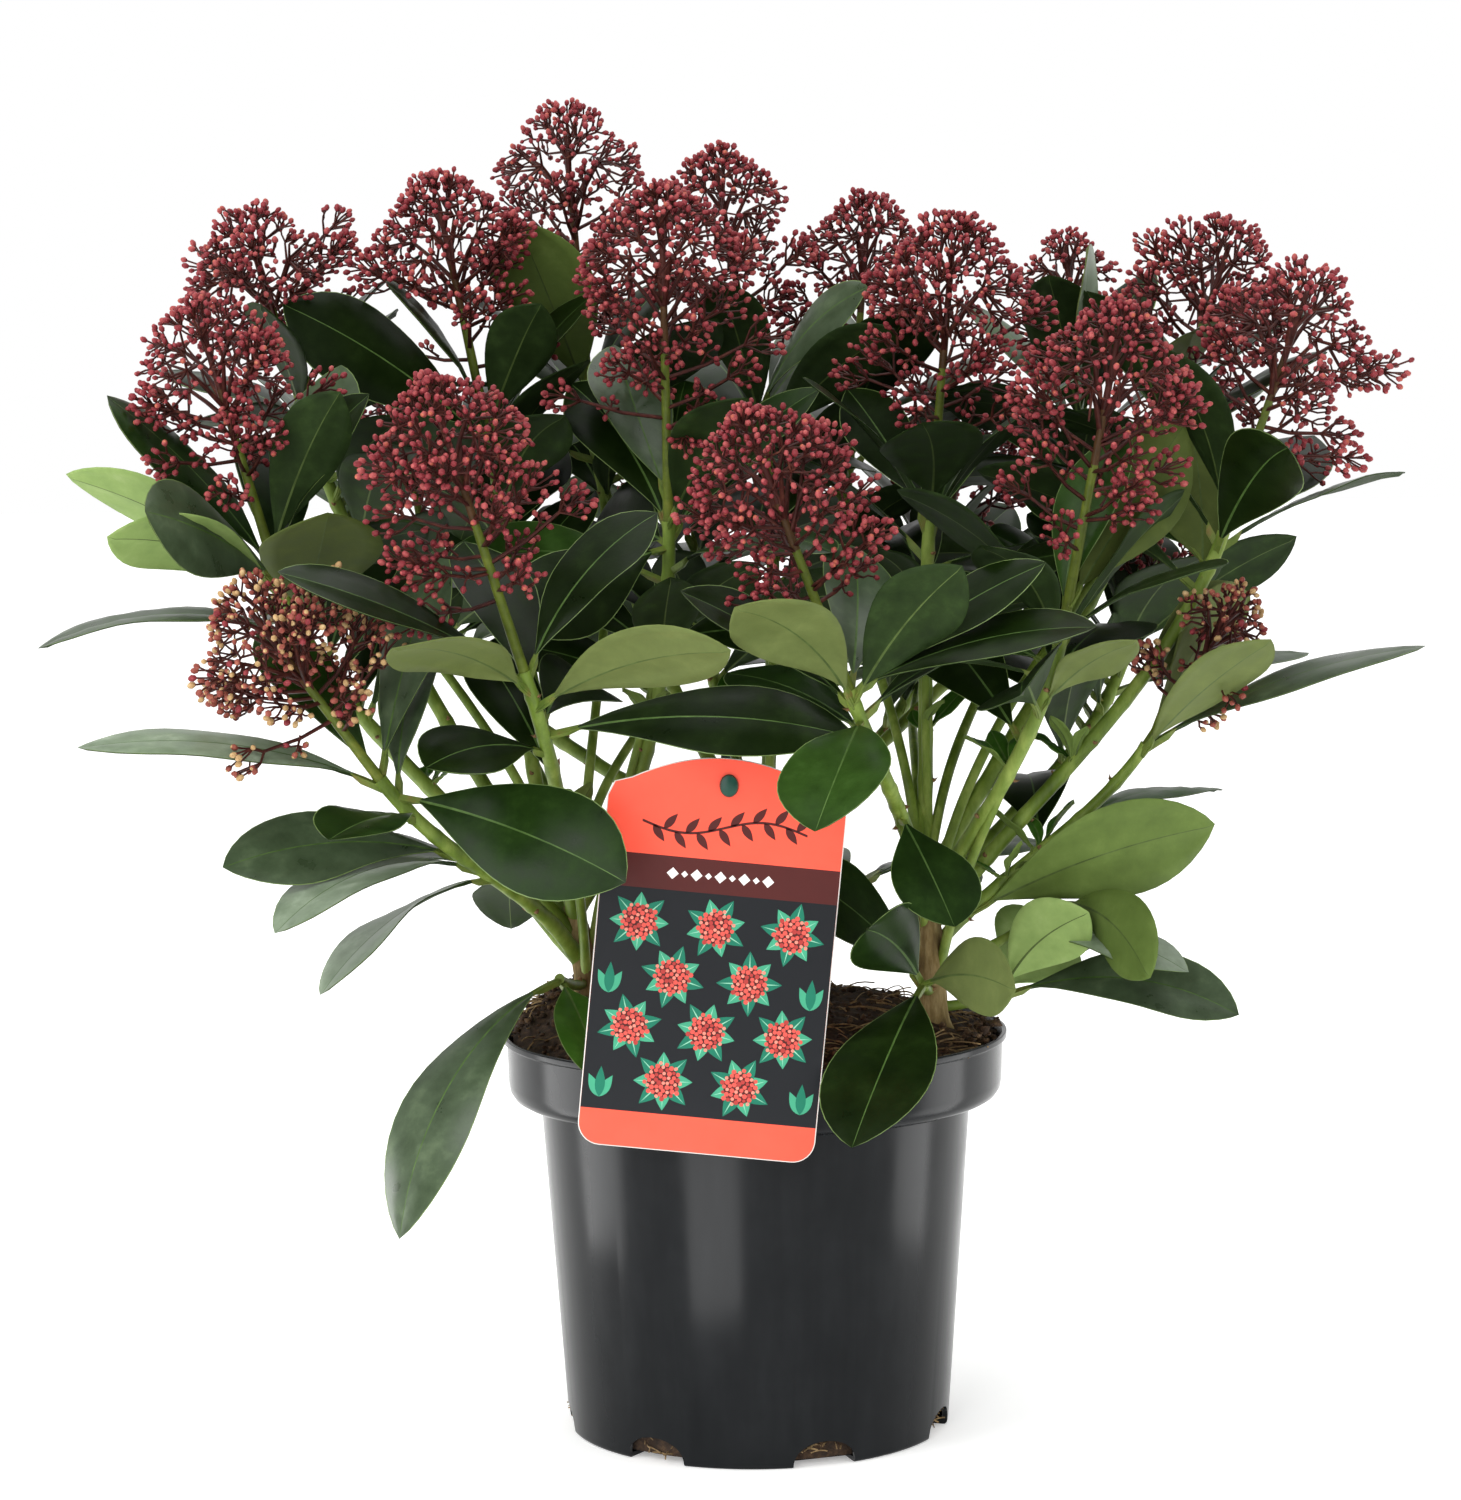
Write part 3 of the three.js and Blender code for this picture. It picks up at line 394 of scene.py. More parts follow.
def leaf_frame(leaf, s, twist=0):
    """Midrib point, side and upper side's direction of a leaf at shares s of its length."""
    s = np.asarray(s, float)
    turn, lift, droop, roll = (math.radians(leaf[key]) for key in ("turn", "lift", "droop", "roll"))
    first = lift + droop / 2
    here = first - droop * s
    run = leaf["length"] * (math.sin(first) - np.sin(here)) / droop
    climb = leaf["length"] * (np.cos(here) - math.cos(first)) / droop
    centre = leaf["root"] + np.stack([math.cos(turn) * run, math.sin(turn) * run, climb], -1)
    along = np.stack([math.cos(turn) * np.cos(here), math.sin(turn) * np.cos(here), np.sin(here)], -1)
    level = np.broadcast_to([-math.sin(turn), math.cos(turn), 0], along.shape)
    rise = np.cross(along, level)
    rolled = (roll + twist * s)[..., None]
    side = level * np.cos(rolled) + rise * np.sin(rolled)
    return centre, side, np.cross(along, side)


def placed(leaf, corners):
    """The leaf in the place that the solid gave it, or None where it was skipped."""
    for swing, lifted in LEAF_TRIES:
        tried = dict(leaf, turn=leaf["turn"] + swing, lift=leaf["lift"] + lifted)
        if stands(corners, leaf_frame(tried, 1)[0]):
            return tried
    return None


def half_width(s):
    """Half width of a blade as a share of its widest, from the root (0) to the tip (1)."""
    blade = np.clip((s - 0.08) / 0.92, 0, 1)
    return blade**1.2 * (1 - blade)**0.85 / 0.2488


LEAF_ROWS = np.array([0, 0.04, 0.08, 0.11, 0.15, 0.2, 0.26, 0.32, 0.38, 0.44, 0.5, 0.56, 0.62, 0.68, 0.74,
                      0.8, 0.86, 0.92, 0.965])
LEAF_COLUMNS = 10
UPPER, UNDER, RIB, UNDER_RIB, MARGIN, PETIOLE = range(6)


def leaf_topology():
    """Faces of a leaf, closed round its edge, with the kind of surface on each. The upper side's
    points come first, then the inner ones of the underside, and the tip last."""
    rows, columns = len(LEAF_ROWS), LEAF_COLUMNS
    inner = columns - 2
    tip = rows * columns + rows * inner

    def top(r, c):
        return r * columns + c

    def low(r, c):
        return top(r, c) if c in (0, columns - 1) else rows * columns + r * inner + c - 1

    faces, kinds = [], []
    middle = (columns - 1) // 2
    for r in range(rows):
        stem = LEAF_ROWS[r] < LEAF["petiole_share"]
        for c in range(columns - 1):
            above = RIB if c == middle else MARGIN if c in (0, columns - 2) else UPPER
            beneath = UNDER_RIB if c == middle else UNDER
            if r < rows - 1:
                faces += [(top(r, c), top(r, c + 1), top(r + 1, c + 1), top(r + 1, c)),
                          (low(r, c), low(r + 1, c), low(r + 1, c + 1), low(r, c + 1))]
            else:
                faces += [(top(r, c), top(r, c + 1), tip), (low(r, c), tip, low(r, c + 1))]
            kinds += [PETIOLE, PETIOLE] if stem else [above, beneath]
    for c in range(columns - 1):
        end = (top(0, c + 1), top(0, c), low(0, c), low(0, c + 1))
        faces.append(tuple(dict.fromkeys(end)))
        kinds.append(PETIOLE)
    return faces, kinds


LEAF_FACES, LEAF_KINDS = leaf_topology()


def leaf_points(leaf, random):
    """A leaf's points: folded along its midrib, its edges curled and waved, its veins sunk."""
    fold, curl = lerp(0.02, 0.2, random()), lerp(0.02, 0.24, random())
    twist, sway = math.radians(lerp(-16, 16, random())), lerp(-2.5, 2.5, random())
    wave, phase = lerp(0.2, 1.1, random()), random() * 6
    rows = LEAF_ROWS[:, None]
    half = np.maximum(half_width(rows) * leaf["width"] / 2, LEAF["petiole"] * (1 - rows))
    margin = np.maximum(0.74, 1 - LEAF["margin"] / half)
    rib = np.minimum(0.25, LEAF["midrib"] * (1.3 - rows) / half)
    half_row = np.concatenate([-np.ones_like(half), -margin, -margin * 0.7, -0.36 + 0 * half, -rib], 1)
    across = np.concatenate([half_row, -half_row[:, ::-1]], 1)
    blade = (rows > LEAF["petiole_share"]).astype(float)
    s = np.clip(rows + 0.05 * np.abs(across) * np.sin(rows * math.pi) * blade, 0, 0.985)
    centre, side, up = leaf_frame(leaf, s, twist)
    reach = np.abs(across)
    on_rib = reach <= rib + 1e-9
    ripple = wave * reach**2 * np.sin(s * 11 + phase + np.sign(across)) * np.sin(s * math.pi)
    veins = np.where(np.arange(len(LEAF_ROWS)) % 2 == 0, 1, -1)[:, None] * blade
    relief = -0.16 * veins * reach * (1 - reach) * 4 - 0.3 * on_rib
    height = half * (fold * reach - curl * reach**2) * blade + ripple * blade + relief * blade
    place = centre + side * (across * half)[..., None] + side * (sway * np.sin(s * math.pi))[..., None]
    upper = place + up * height[..., None]
    depth = LEAF["thickness"] + 0.55 * on_rib + 1.6 * (1 - blade)
    lower = (upper - up * depth[..., None])[:, 1:-1]
    tip = leaf_frame(leaf, 1)[0][None]
    return np.concatenate([upper.reshape(-1, 3), lower.reshape(-1, 3), tip])


# Panicles by the source's rule, carried on to single buds

def side_twig(path, rise, turn, spread, reach, radius):
    """A side twig of a panicle: how far up the stalk it starts, its turn round the stalk and its
    spread from it in degrees, its length, and the radius of the head at its tip."""
    side, across = square_to(path["stalk"], (1, 0, 0))
    start = lerp(path["whorl"], path["apex"], rise)
    turn, spread = math.radians(turn), math.radians(spread)
    out = side * math.cos(turn) + across * math.sin(turn)
    way = path["stalk"] * math.cos(spread) + out * math.sin(spread)
    return dict(start=start, tip=start + way * reach, way=way, radius=radius)


def panicle_twigs(path, seed):
    """Side twigs of a panicle, long and separate under its dome."""
    random, size = seeded(seed), path["size"]
    count = PANICLE["side_twigs"] - (size < 0.9)
    turn = random() * 360
    for i in range(count):
        climb = i / (count - 1)
        turn += GOLDEN_ANGLE
        yield side_twig(path, lerp(0.34, 0.55, climb), turn, lerp(60, 50, climb) + (random() - 0.5) * 14,
                        PANICLE["reach"] * size * lerp(0.88, 1.1, random()),
                        PANICLE["cluster"] * size**0.5 * lerp(0.88, 1.1, random()))


def skirt_twigs(path, seed):
    """Lower side twigs, which carry the panicle down round its stalk and make it a broad cone."""
    random, size = seeded(seed + 400), path["size"]
    turn = random() * 360
    for i in range(int(PANICLE["skirt_twigs"] * min(1, size))):
        climb = i / (PANICLE["skirt_twigs"] - 1)
        turn += GOLDEN_ANGLE + (random() - 0.5) * 30
        yield side_twig(path, lerp(0.24, 0.56, climb), turn, lerp(80, 58, climb) + (random() - 0.5) * 20,
                        PANICLE["reach"] * size * lerp(0.78, 1.24, random()),
                        PANICLE["cluster"] * size**0.5 * lerp(0.75, 1.02, random()))


def lobe_ways(path, seed):
    """The twelve lobes of a dome, turned as in the solid, which draws some numbers before them."""
    random = seeded(seed + 7)
    for _ in range(DRAWN_BEFORE_LOBES):
        random()
    golden = (1 + math.sqrt(5)) / 2
    signs = [(a, b) for a in (-1, 1) for b in (-golden, golden)]
    corners = unit([(a, b, 0) for a, b in signs] + [(0, a, b) for a, b in signs]
                   + [(b, 0, a) for a, b in signs])
    spin = Matrix.Rotation(random() * 6, 3, "Z")
    upright = Vector((0, 0, 1)).rotation_difference(Vector(path["stalk"])).to_matrix()
    return corners @ np.array(upright @ spin).T


def even_ways(count, random):
    """Directions spread evenly over a ball, each a little off its place."""
    k = np.arange(count) + 0.5
    z = 1 - 2 * k / count
    turn = k * math.radians(GOLDEN_ANGLE) + random() * 6
    flat = np.sqrt(1 - z * z)
    jitter = np.array([[random() - 0.5 for _ in range(3)] for _ in range(count)])
    even = np.stack([flat * np.cos(turn), flat * np.sin(turn), z], -1)
    return unit(even + jitter * 2.4 / math.sqrt(count))


class Blossom:
    """Flower buds and the twigs that carry them, which find their way between the leaves."""

    def __init__(self, leaf_tree):
        self.buds, self.ways, self.sizes, self.tints = [], [], [], []
        self.twigs = []
        self.leaf_tree = leaf_tree

    def clear(self, start, end, room):
        """Whether the way from start to end crosses no leaf, and no leaf is near its end."""
        start, end = Vector(start), Vector(end)
        way = end - start
        crossed = self.leaf_tree.ray_cast(start, way.normalized(), way.length + room)[0]
        return crossed is None and self.leaf_tree.find_nearest(end, room)[0] is None

    def twig(self, start, end, radii):
        self.twigs.append((start, end, *radii))

    def bent_twig(self, start, bend, end, radii):
        middle = (radii[0] + radii[1]) / 2
        self.twig(start, bend, (radii[0], middle))
        self.twig(bend, end, (middle, radii[1]))

    def bud(self, place, way, size, tint):
        self.buds.append(place)
        self.ways.append(way)
        self.sizes.append(size)
        self.tints.append(tint)

    def head(self, hub, knots, places, sizes, tint, random):
        """Twigs fork from the hub to the knots, and each knot carries the buds nearest to it."""
        knots = np.array([knot for knot in knots if self.clear(hub, knot, KNOT_ROOM)])
        if not len(knots):
            return
        for knot in knots:
            self.twig(hub, knot, TWIGS["knot"])
        for place, size in zip(places, sizes):
            knot = knots[np.argmin(np.linalg.norm(knots - place, axis=1))]
            stray = (np.array([random(), random(), random()]) - 0.5) * 1.6
            fork = lerp(knot, place, lerp(0.35, 0.55, random())) + stray
            if np.linalg.norm(place - knot) < 1.5 or not self.clear(fork, place, BUD["radius"]):
                continue
            self.twig(knot, fork, TWIGS["from_knot"])
            self.twig(fork, place, TWIGS["to_bud"])
            face = unit(unit(place - fork) + (np.array([random(), random(), random()]) - 0.5) * 0.6)
            self.bud(place, face, size, tint(random()))


def ways_round(way, angle, count, turn):
    """The direction itself and a ring of directions at an angle to it."""
    side, across = square_to(way, (0.31, 0.2, 0.93))
    ring = [way * math.cos(angle) + (side * math.cos(a) + across * math.sin(a)) * math.sin(angle)
            for a in even_turns(count) + turn]
    return np.array([way, *ring])


def grow_dome(blossom, path, seed, tint, opened):
    """Lobes of close buds round the top of the flower stalk, narrower towards its apex. The lobes
    of an opened dome stand apart."""
    random = seeded(seed + 900)
    size, stalk = path["size"], path["stalk"]
    centre = path["apex"] - stalk * PANICLE["dome_drop"] * size
    lobes = lobe_ways(path, seed)
    flat = PANICLE["dome_height"] / PANICLE["dome"]
    across = np.eye(3) - np.outer(stalk, stalk)

    def out_to(way, reach):
        rise = way @ stalk
        wide, tall = (lerp(1.06, 0.56, rise), flat) if rise > 0 else (1.06, 1.1)
        return centre + (across @ way * wide + stalk * rise * tall) * reach * PANICLE["dome"] * size

    share = size**1.6
    outer = even_ways(int(PANICLE["buds"] * share), random)
    inner = even_ways(int(PANICLE["inner_buds"] * share), random)
    nearest_outer, nearest_inner = np.argmax(outer @ lobes.T, 1), np.argmax(inner @ lobes.T, 1)
    for k, lobe in enumerate(lobes):
        rise = lobe @ stalk
        if rise < -0.6:
            continue
        hub = out_to(lobe, 0.4)
        above = (hub - path["whorl"]) @ stalk
        off = np.linalg.norm(hub - path["whorl"] - stalk * above)
        root = path["whorl"] + stalk * max(12, above - off * 1.1 - 3)
        if not blossom.clear(root, hub, ROOM):
            continue
        blossom.bent_twig(root, lerp(root, hub, 0.55) + stalk * off * 0.06, hub, TWIGS["lobe"])
        knot_ways = ways_round(lobe, math.radians(23), PANICLE["lobe_knots"], random() * 6)
        knots = [out_to(way, 0.68) for way in knot_ways]
        places, sizes = [], []
        for way in outer[nearest_outer == k]:
            angle = math.degrees(math.acos(min(1, way @ lobe)))
            if opened and angle > 26:
                continue
            reach = lerp(1, PANICLE["hollow"] + 0.04, min(1, angle / 34)) * lerp(0.93, 1.03, random())
            places.append(out_to(way, reach))
            sizes.append(lerp(0.76, 1.14, random()))
        for way in inner[nearest_inner == k]:
            places.append(out_to(way, lerp(0.74, 0.86, random())))
            sizes.append(lerp(0.7, 1.0, random()))
        rises = [unit(place - centre) @ stalk for place in places]
        kept = [i for i, rise in enumerate(rises) if rise > -0.62 and random() > -0.9 * rise]
        blossom.head(hub, knots, np.array(places)[kept], np.array(sizes)[kept], tint, random)


def grow_cluster(blossom, twig, seed, tint, count):
    """A side twig that forks into a loose head of buds, with one small fork on its way."""
    random = seeded(seed)
    start, tip, way, radius = twig["start"], twig["tip"], twig["way"], twig["radius"]
    neck = tip - way * radius * 1.1
    if not blossom.clear(start + way * 3, neck, ROOM):
        return
    side, across = square_to(way, (0, 0, 1))
    blossom.bent_twig(start, lerp(start, neck, 0.5) - side * 1.2, neck, TWIGS["side"])
    knot_ways = ways_round(way, math.radians(48), 4, random() * 6)
    knots = [neck + knot_way * radius * 0.72 for knot_way in knot_ways]
    places = [tip + ball_way * radius * lerp(0.66, 1.02, random()) - way * radius * 0.08
              for ball_way in even_ways(count, random) if ball_way @ way > -0.5]
    sizes = [lerp(0.86, 1.14, random()) for _ in places]
    blossom.head(neck, knots, places, sizes, tint, random)
    knee = lerp(start, neck, lerp(0.45, 0.7, random()))
    turn = random() * 6
    out = unit(side * math.cos(turn) + across * math.sin(turn) + way * 0.8)
    hub = knee + out * radius * 0.5
    if blossom.clear(knee, hub, ROOM):
        blossom.twig(knee, hub, TWIGS["fork"])
        ball_ways = [ball_way for ball_way in even_ways(8, random) if ball_way @ out > -0.2]
        places = [hub + ball_way * radius * 0.55 for ball_way in ball_ways]
        blossom.head(knee, [hub], places, [1.0] * len(places), tint, random)


# rings of a bud up its length: share of its length, and of its widest radius
BUD_RINGS = [(0.1, 0.6), (0.5, 1.0), (0.86, 0.62)]
BUD_SIDES = 6


def add_buds(skin, blossom):
    """Round flower buds: a dark calyx under closed petals."""
    places, ways, sizes = np.array(blossom.buds), np.array(blossom.ways), np.array(blossom.sizes)
    ring = rings_square_to(ways, BUD_SIDES)
    length, radius = BUD["length"] * sizes, BUD["radius"] * sizes
    base = places - ways * (length / 2)[:, None]
    rings = [(base + ways * (length * rise)[:, None])[:, None] + ring * (radius * wide)[:, None, None]
             for rise, wide in BUD_RINGS]
    points = np.concatenate([base[:, None], *rings, (base + ways * length[:, None])[:, None]], 1)
    around = [(1 + k, 1 + (k + 1) % BUD_SIDES) for k in range(BUD_SIDES)]
    last = (len(BUD_RINGS) - 1) * BUD_SIDES
    apex = 1 + len(BUD_RINGS) * BUD_SIDES
    calyx = [(0, b, a) for a, b in around]
    petals = [(low + a, low + b, low + BUD_SIDES + b, low + BUD_SIDES + a)
              for low in range(0, last, BUD_SIDES) for a, b in around]
    tips = [(last + a, last + b, apex) for a, b in around]
    for bud_points, tint in zip(points, blossom.tints):
        shades = [shade for shade, faces in zip(BUD_SHADES[tint], (calyx, petals, tips)) for _ in faces]
        skin.add(bud_points, calyx + petals + tips, shades)


# Finishes

def linear(code):
    """An sRGB hex colour as linear red, green, blue and alpha."""
    channels = [int(code[k:k + 2], 16) / 255 for k in (1, 3, 5)]
    return [c / 12.92 if c <= 0.04045 else ((c + 0.055) / 1.055)**2.4 for c in channels] + [1]


def per_metre(size_mm):
    """Scale of a pattern whose features are that many millimetres wide."""
    return 1 / (size_mm * MM)


def set_inputs(tree, node, inputs):
    """Gives inputs of a node their values, or links them to other nodes' outputs."""
    for name, value in inputs.items():
        if isinstance(value, bpy.types.NodeSocket):
            tree.links.new(value, node.inputs[name])
        else:
            node.inputs[name].default_value = value


def add_node(tree, kind, inputs=None, ramp=None, **settings):
    """Adds a node with its settings, its ramp's stops, and values or links for its inputs."""
    made = tree.nodes.new(kind)
    for name, value in settings.items():
        setattr(made, name, value)
    if ramp:
        stops = made.color_ramp.elements
        while len(stops) < len(ramp):
            stops.new(0.5)
        for stop, (place, code) in zip(stops, ramp):
            stop.position, stop.color = place, linear(code)
    set_inputs(tree, made, inputs or {})
    return made


def new_finish(name):
    """An empty material, with its node tree, surface shader and place on the object."""
    material = bpy.data.materials.new(name)
    material.use_nodes = True
    tree = material.node_tree
    shader = tree.nodes["Principled BSDF"]
    return material, tree, shader, add_node(tree, "ShaderNodeTexCoord").outputs["Object"]


# where the two or three colours of a patch pattern lie on its ramp
STOPS = {2: (0.3, 0.7), 3: (0.3, 0.55, 0.75)}


def organic(name, colours, patch_mm, roughness, grain_mm, grain_depth, gloss=0.5, ior=1.45, stretch=None,
            stops=None):
    """A grown surface: its colours in soft patches, darkest first, and a fine relief."""
    material, tree, shader, place = new_finish(name)
    if stretch:
        place = add_node(tree, "ShaderNodeMapping", {"Vector": place, "Scale": stretch}).outputs[0]
    patches = add_node(tree, "ShaderNodeTexNoise", {
        "Vector": place, "Scale": per_metre(patch_mm), "Detail": 5.0, "Roughness": 0.6}).outputs["Fac"]
    shades = add_node(tree, "ShaderNodeValToRGB", {"Fac": patches},
                      ramp=list(zip(stops or STOPS[len(colours)], colours)))
    grain = add_node(tree, "ShaderNodeTexNoise", {
        "Vector": place, "Scale": per_metre(grain_mm), "Detail": 3.0})
    bump = add_node(tree, "ShaderNodeBump", {
        "Height": grain.outputs["Fac"], "Strength": 0.6, "Distance": grain_depth * MM})
    rough = add_node(tree, "ShaderNodeMapRange", {
        "Value": patches, "From Min": 0.3, "From Max": 0.7, "To Min": roughness - 0.06,
        "To Max": roughness + 0.08})
    set_inputs(tree, shader, {
        "Base Color": shades.outputs["Color"], "Normal": bump.outputs["Normal"],
        "Roughness": rough.outputs["Result"], "IOR": ior, "Specular IOR Level": gloss})
    return material


# Evergreen leaf, waxy upper side: a hard cuticle over dark green. The last two shades are paler: a
# painted sheen for leaves that mirror the bright room, on top of their real gloss. Young ones are a fresher
# green.
DEEP, BOTTLE, MID, FRESH, GREY_SHEEN, SILVER_SHEEN = range(6)
# name, colours, width of the patches, roughness and gloss
WAXY_LEAVES = [
    ("deep", ("#0D1905", "#152308", "#20310F"), 14, 0.33, 0.13),
    ("bottle", ("#14250A", "#1D320E", "#284015"), 12, 0.33, 0.14),
    ("mid", ("#20370F", "#2B4616", "#385522"), 12, 0.35, 0.17),
    ("fresh", ("#274A10", "#345A18", "#456D27"), 12, 0.38, 0.16),
    ("grey_painted_sheen", ("#32402A", "#43533A", "#596A4C"), 12, 0.32, 0.42),
    ("silver_painted_sheen", ("#66775E", "#82927A", "#A3B19B"), 12, 0.34, 0.5),
]
upper_shades = [organic(f"waxy_leaf_{name}", colours, patch_mm, roughness, 1.1, 0.05, gloss)
                for name, colours, patch_mm, roughness, gloss in WAXY_LEAVES]
# Leaf underside: no wax, so a matt olive. The shaded one is painted shade, for undersides inside the
# plant, and the lime one is painted backlight, for leaves with the light behind them.
SHADED, OLIVE, DULL_OLIVE, BRIGHT_OLIVE, LIME = range(5)
# name, colours, roughness and gloss
MATT_UNDERSIDES = [
    ("shaded", ("#1C2B10", "#263717", "#324620"), 0.6, 0.15),
    ("olive", ("#5A6635", "#626E3B", "#6B7742"), 0.62, 0.2),
    ("dull", ("#475425", "#4F5C2A", "#586531"), 0.6, 0.15),
    ("bright", ("#566A2F", "#5E7335", "#687D3D"), 0.6, 0.2),
    ("lime", ("#7E9854", "#8AA35E", "#98AE6D"), 0.6, 0.2),
]
under_shades = [organic(f"matt_underside_{name}", colours, 9, roughness, 0.8, 0.06, gloss)
                for name, colours, roughness, gloss in MATT_UNDERSIDES]
# Midrib and margin: pale yellow green lines that draw each leaf.
midrib = organic("pale_midrib", ("#3A5424", "#57733A"), 5, 0.42, 0.8, 0.05, gloss=0.25)
under_midrib = organic("underside_midrib", ("#3C4C22", "#566836"), 5, 0.55, 0.8, 0.05, gloss=0.2)
margin = organic("horny_leaf_margin", ("#586F3A", "#7A9055"), 5, 0.4, 0.8, 0.04, gloss=0.3)
petiole = organic("leaf_stalk_skin", ("#4E6424", "#687832", "#7A6238"), 6, 0.5, 0.8, 0.06, gloss=0.3)
leaf_finishes = [*upper_shades, *under_shades, midrib, under_midrib, margin, petiole]
# Young bark: smooth and green, streaked lighter along the shoot.
young_bark = organic("green_young_bark", ("#4C601C", "#667D2B", "#8EA04C"), 9, 0.5, 1.4, 0.12, gloss=0.35,
                     stretch=(1, 1, 0.35), stops=(0.3, 0.5, 0.72))
leaf_scar = organic("corky_leaf_scar", ("#4A3424", "#94744F"), 2, 0.8, 0.7, 0.15, gloss=0.2)
# Old bark: grey brown and fissured, with darker streaks down the stem.
old_bark = organic("fissured_old_bark", ("#4A3C24", "#7A6842", "#A8966C"), 4, 0.85, 1.2, 0.5, gloss=0.2,
                   stretch=(1, 1, 0.25), stops=(0.28, 0.5, 0.75))
# Flower stalk: olive green skin that reddens among the buds.
stalk_skin = organic("olive_flower_stalk", ("#46521A", "#5C6A20", "#767C2E"), 7, 0.48, 1, 0.06, gloss=0.3)
stalk_blush = organic("reddened_flower_stalk", ("#3A2A14", "#4C341C", "#5E4024"), 7, 0.48, 1, 0.06,
                      gloss=0.25)
twig_skin = organic("maroon_twig_skin", ("#331612", "#4C241F", "#683A2C"), 5, 0.5, 0.8, 0.05, gloss=0.2)
# Flower buds: closed waxy petals, matt crimson to rose, over a darker calyx.
WINE, CRIMSON, ROSE, CORAL, CREAM, DUSKY = range(6)
# name, colours, roughness and gloss
BUD_SKINS = [
    ("calyx_wine", ("#401819", "#5C2625"), 0.5, 0.2),
    ("petal_crimson", ("#6E262A", "#863238", "#A0464A"), 0.45, 0.25),
    ("petal_rose", ("#8A3A3C", "#A44C4C", "#BC6660"), 0.45, 0.25),
    ("petal_coral", ("#96463A", "#AE5C48", "#C47A5C"), 0.45, 0.25),
    ("petal_cream", ("#9A7A50", "#B89668", "#D0B688"), 0.45, 0.25),
    ("petal_dusky", ("#7A3830", "#965044", "#AE6C54"), 0.45, 0.25),
]
bud_finishes = [organic(f"bud_{name}", colours, 3, roughness, 0.6, 0.05, gloss)
                for name, colours, roughness, gloss in BUD_SKINS]
# calyx, petals and tip of each tint
BUD_SHADES = [(WINE, CRIMSON, CRIMSON), (WINE, CRIMSON, ROSE), (WINE, ROSE, CORAL), (CRIMSON, ROSE, ROSE),
              (DUSKY, CREAM, CREAM), (WINE, DUSKY, DUSKY), (WINE, DUSKY, CREAM)]


def red_tint(draw):
    """Which tint a bud of a red panicle has."""
    return int(np.searchsorted([0.4, 0.72, 0.88], draw))


def faded_tint(draw):
    """Which tint a bud of the paler low panicles has."""
    return [0, 4, 5, 6][int(np.searchsorted([0.12, 0.42, 0.72], draw))]


# Stems and boughs

# Thin stems that rise steeply from the wood and join a bough under its leaves: for each woody stem,
# how far up it they start, the bough, and how far up that they end.
SIDE_STEMS = {
    "left_stem": [(0.3, "centre", 0.88), (0.2, "left_mid", 0.86), (0.6, "top_back", 0.88),
                  (0.75, "rear_left", 0.88), (0.9, "rear_mid", 0.9), (0.15, "front_left", 0.8),
                  (0.45, "back_left", 0.82)],
    "back_stem": [(0.45, "centre_back", 0.88), (0.3, "rear_mid", 0.8)],
    "right_stem": [(0.25, "mid_right", 0.86), (0.85, "mid_back", 0.9), (0.95, "rear_right", 0.9),
                   (0.7, "right_back", 0.88), (0.55, "far_right_back", 0.88), (0.12, "right_front", 0.7),
                   (0.5, "front_mid", 0.85)],
}


def bark_relief(line, depth, furrow, seed):
    """Fissures that run up a stem, as the height over its radius at a row and its turns."""
    def height(around, up):
        place = Vector((math.cos(around) * furrow, math.sin(around) * furrow, up * 0.06 + seed))
        return depth * noise.fractal(place, 1.0, 2.0, 3)

    def relief(row, turns):
        return np.array([height(turn, line[row][2]) for turn in turns])
    return relief


def make_woody_stems():
    """The three bare stems, each a little bowed, with a flare where it leaves the compost."""
    skin = Skin()
    for number, (foot, fork, foot_radius, fork_radius) in enumerate(TRUNKS.values()):
        low, high = np.array(foot, float), np.array(fork, float)
        rises = np.linspace(0, 1.04, 46)
        tall = high[2] - low[2]
        bows = np.interp(rises, [0, 0.15, 0.45, 0.72, 0.93, 1], [0, 0.2, 1, 0.8, 0.2, 0])
        line = low + np.outer(rises, high - low) + np.outer(bows, [1.2, -1.5, 0])
        flare = np.clip(1 - rises * tall / FLARE["height"], 0, 1)**2
        radii = lerp(foot_radius, fork_radius, rises) * BARE_WOOD * (1 + (FLARE["spread"] - 1) * flare)
        radii[-1] *= 0.75
        add_tube(skin, tube(line, radii, 30, bark_relief(line, 0.9, 2.4, number * 9)), 0)
    make_piece("woody_stems", skin, [old_bark], "woody_stem", 80, *TRUNKS)


def stem_line(path):
    """Centre line of a bough, with a point every three millimetres."""
    return path["at"](np.linspace(0, 0.998, max(6, int(path["length"] / 3))))


def side_stem_line(stem, rise, path, share):
    """A side stem's centre line: steeper than the boughs at first, then into the flank of its bough."""
    start, end = on_trunk(stem, rise), path["at"](share)
    way = unit(path["at"](share + 0.03) - path["at"](share - 0.03))
    reach = np.linalg.norm(end - start)
    near = start + (unit((end - start) * [1, 1, 0]) * 0.15 + [0, 0, 0.98]) * reach * 0.42
    return bent_twice(start, near, end - way * reach * 0.28, end, max(8, int(reach / 4)))


def node_bumps(along, start, spacing):
    """Swelling of a young stem at its leaf nodes, row by row."""
    off = (along - start) % spacing
    return 0.34 * np.exp(-((off - spacing * 0.5) / 1.8)**2)


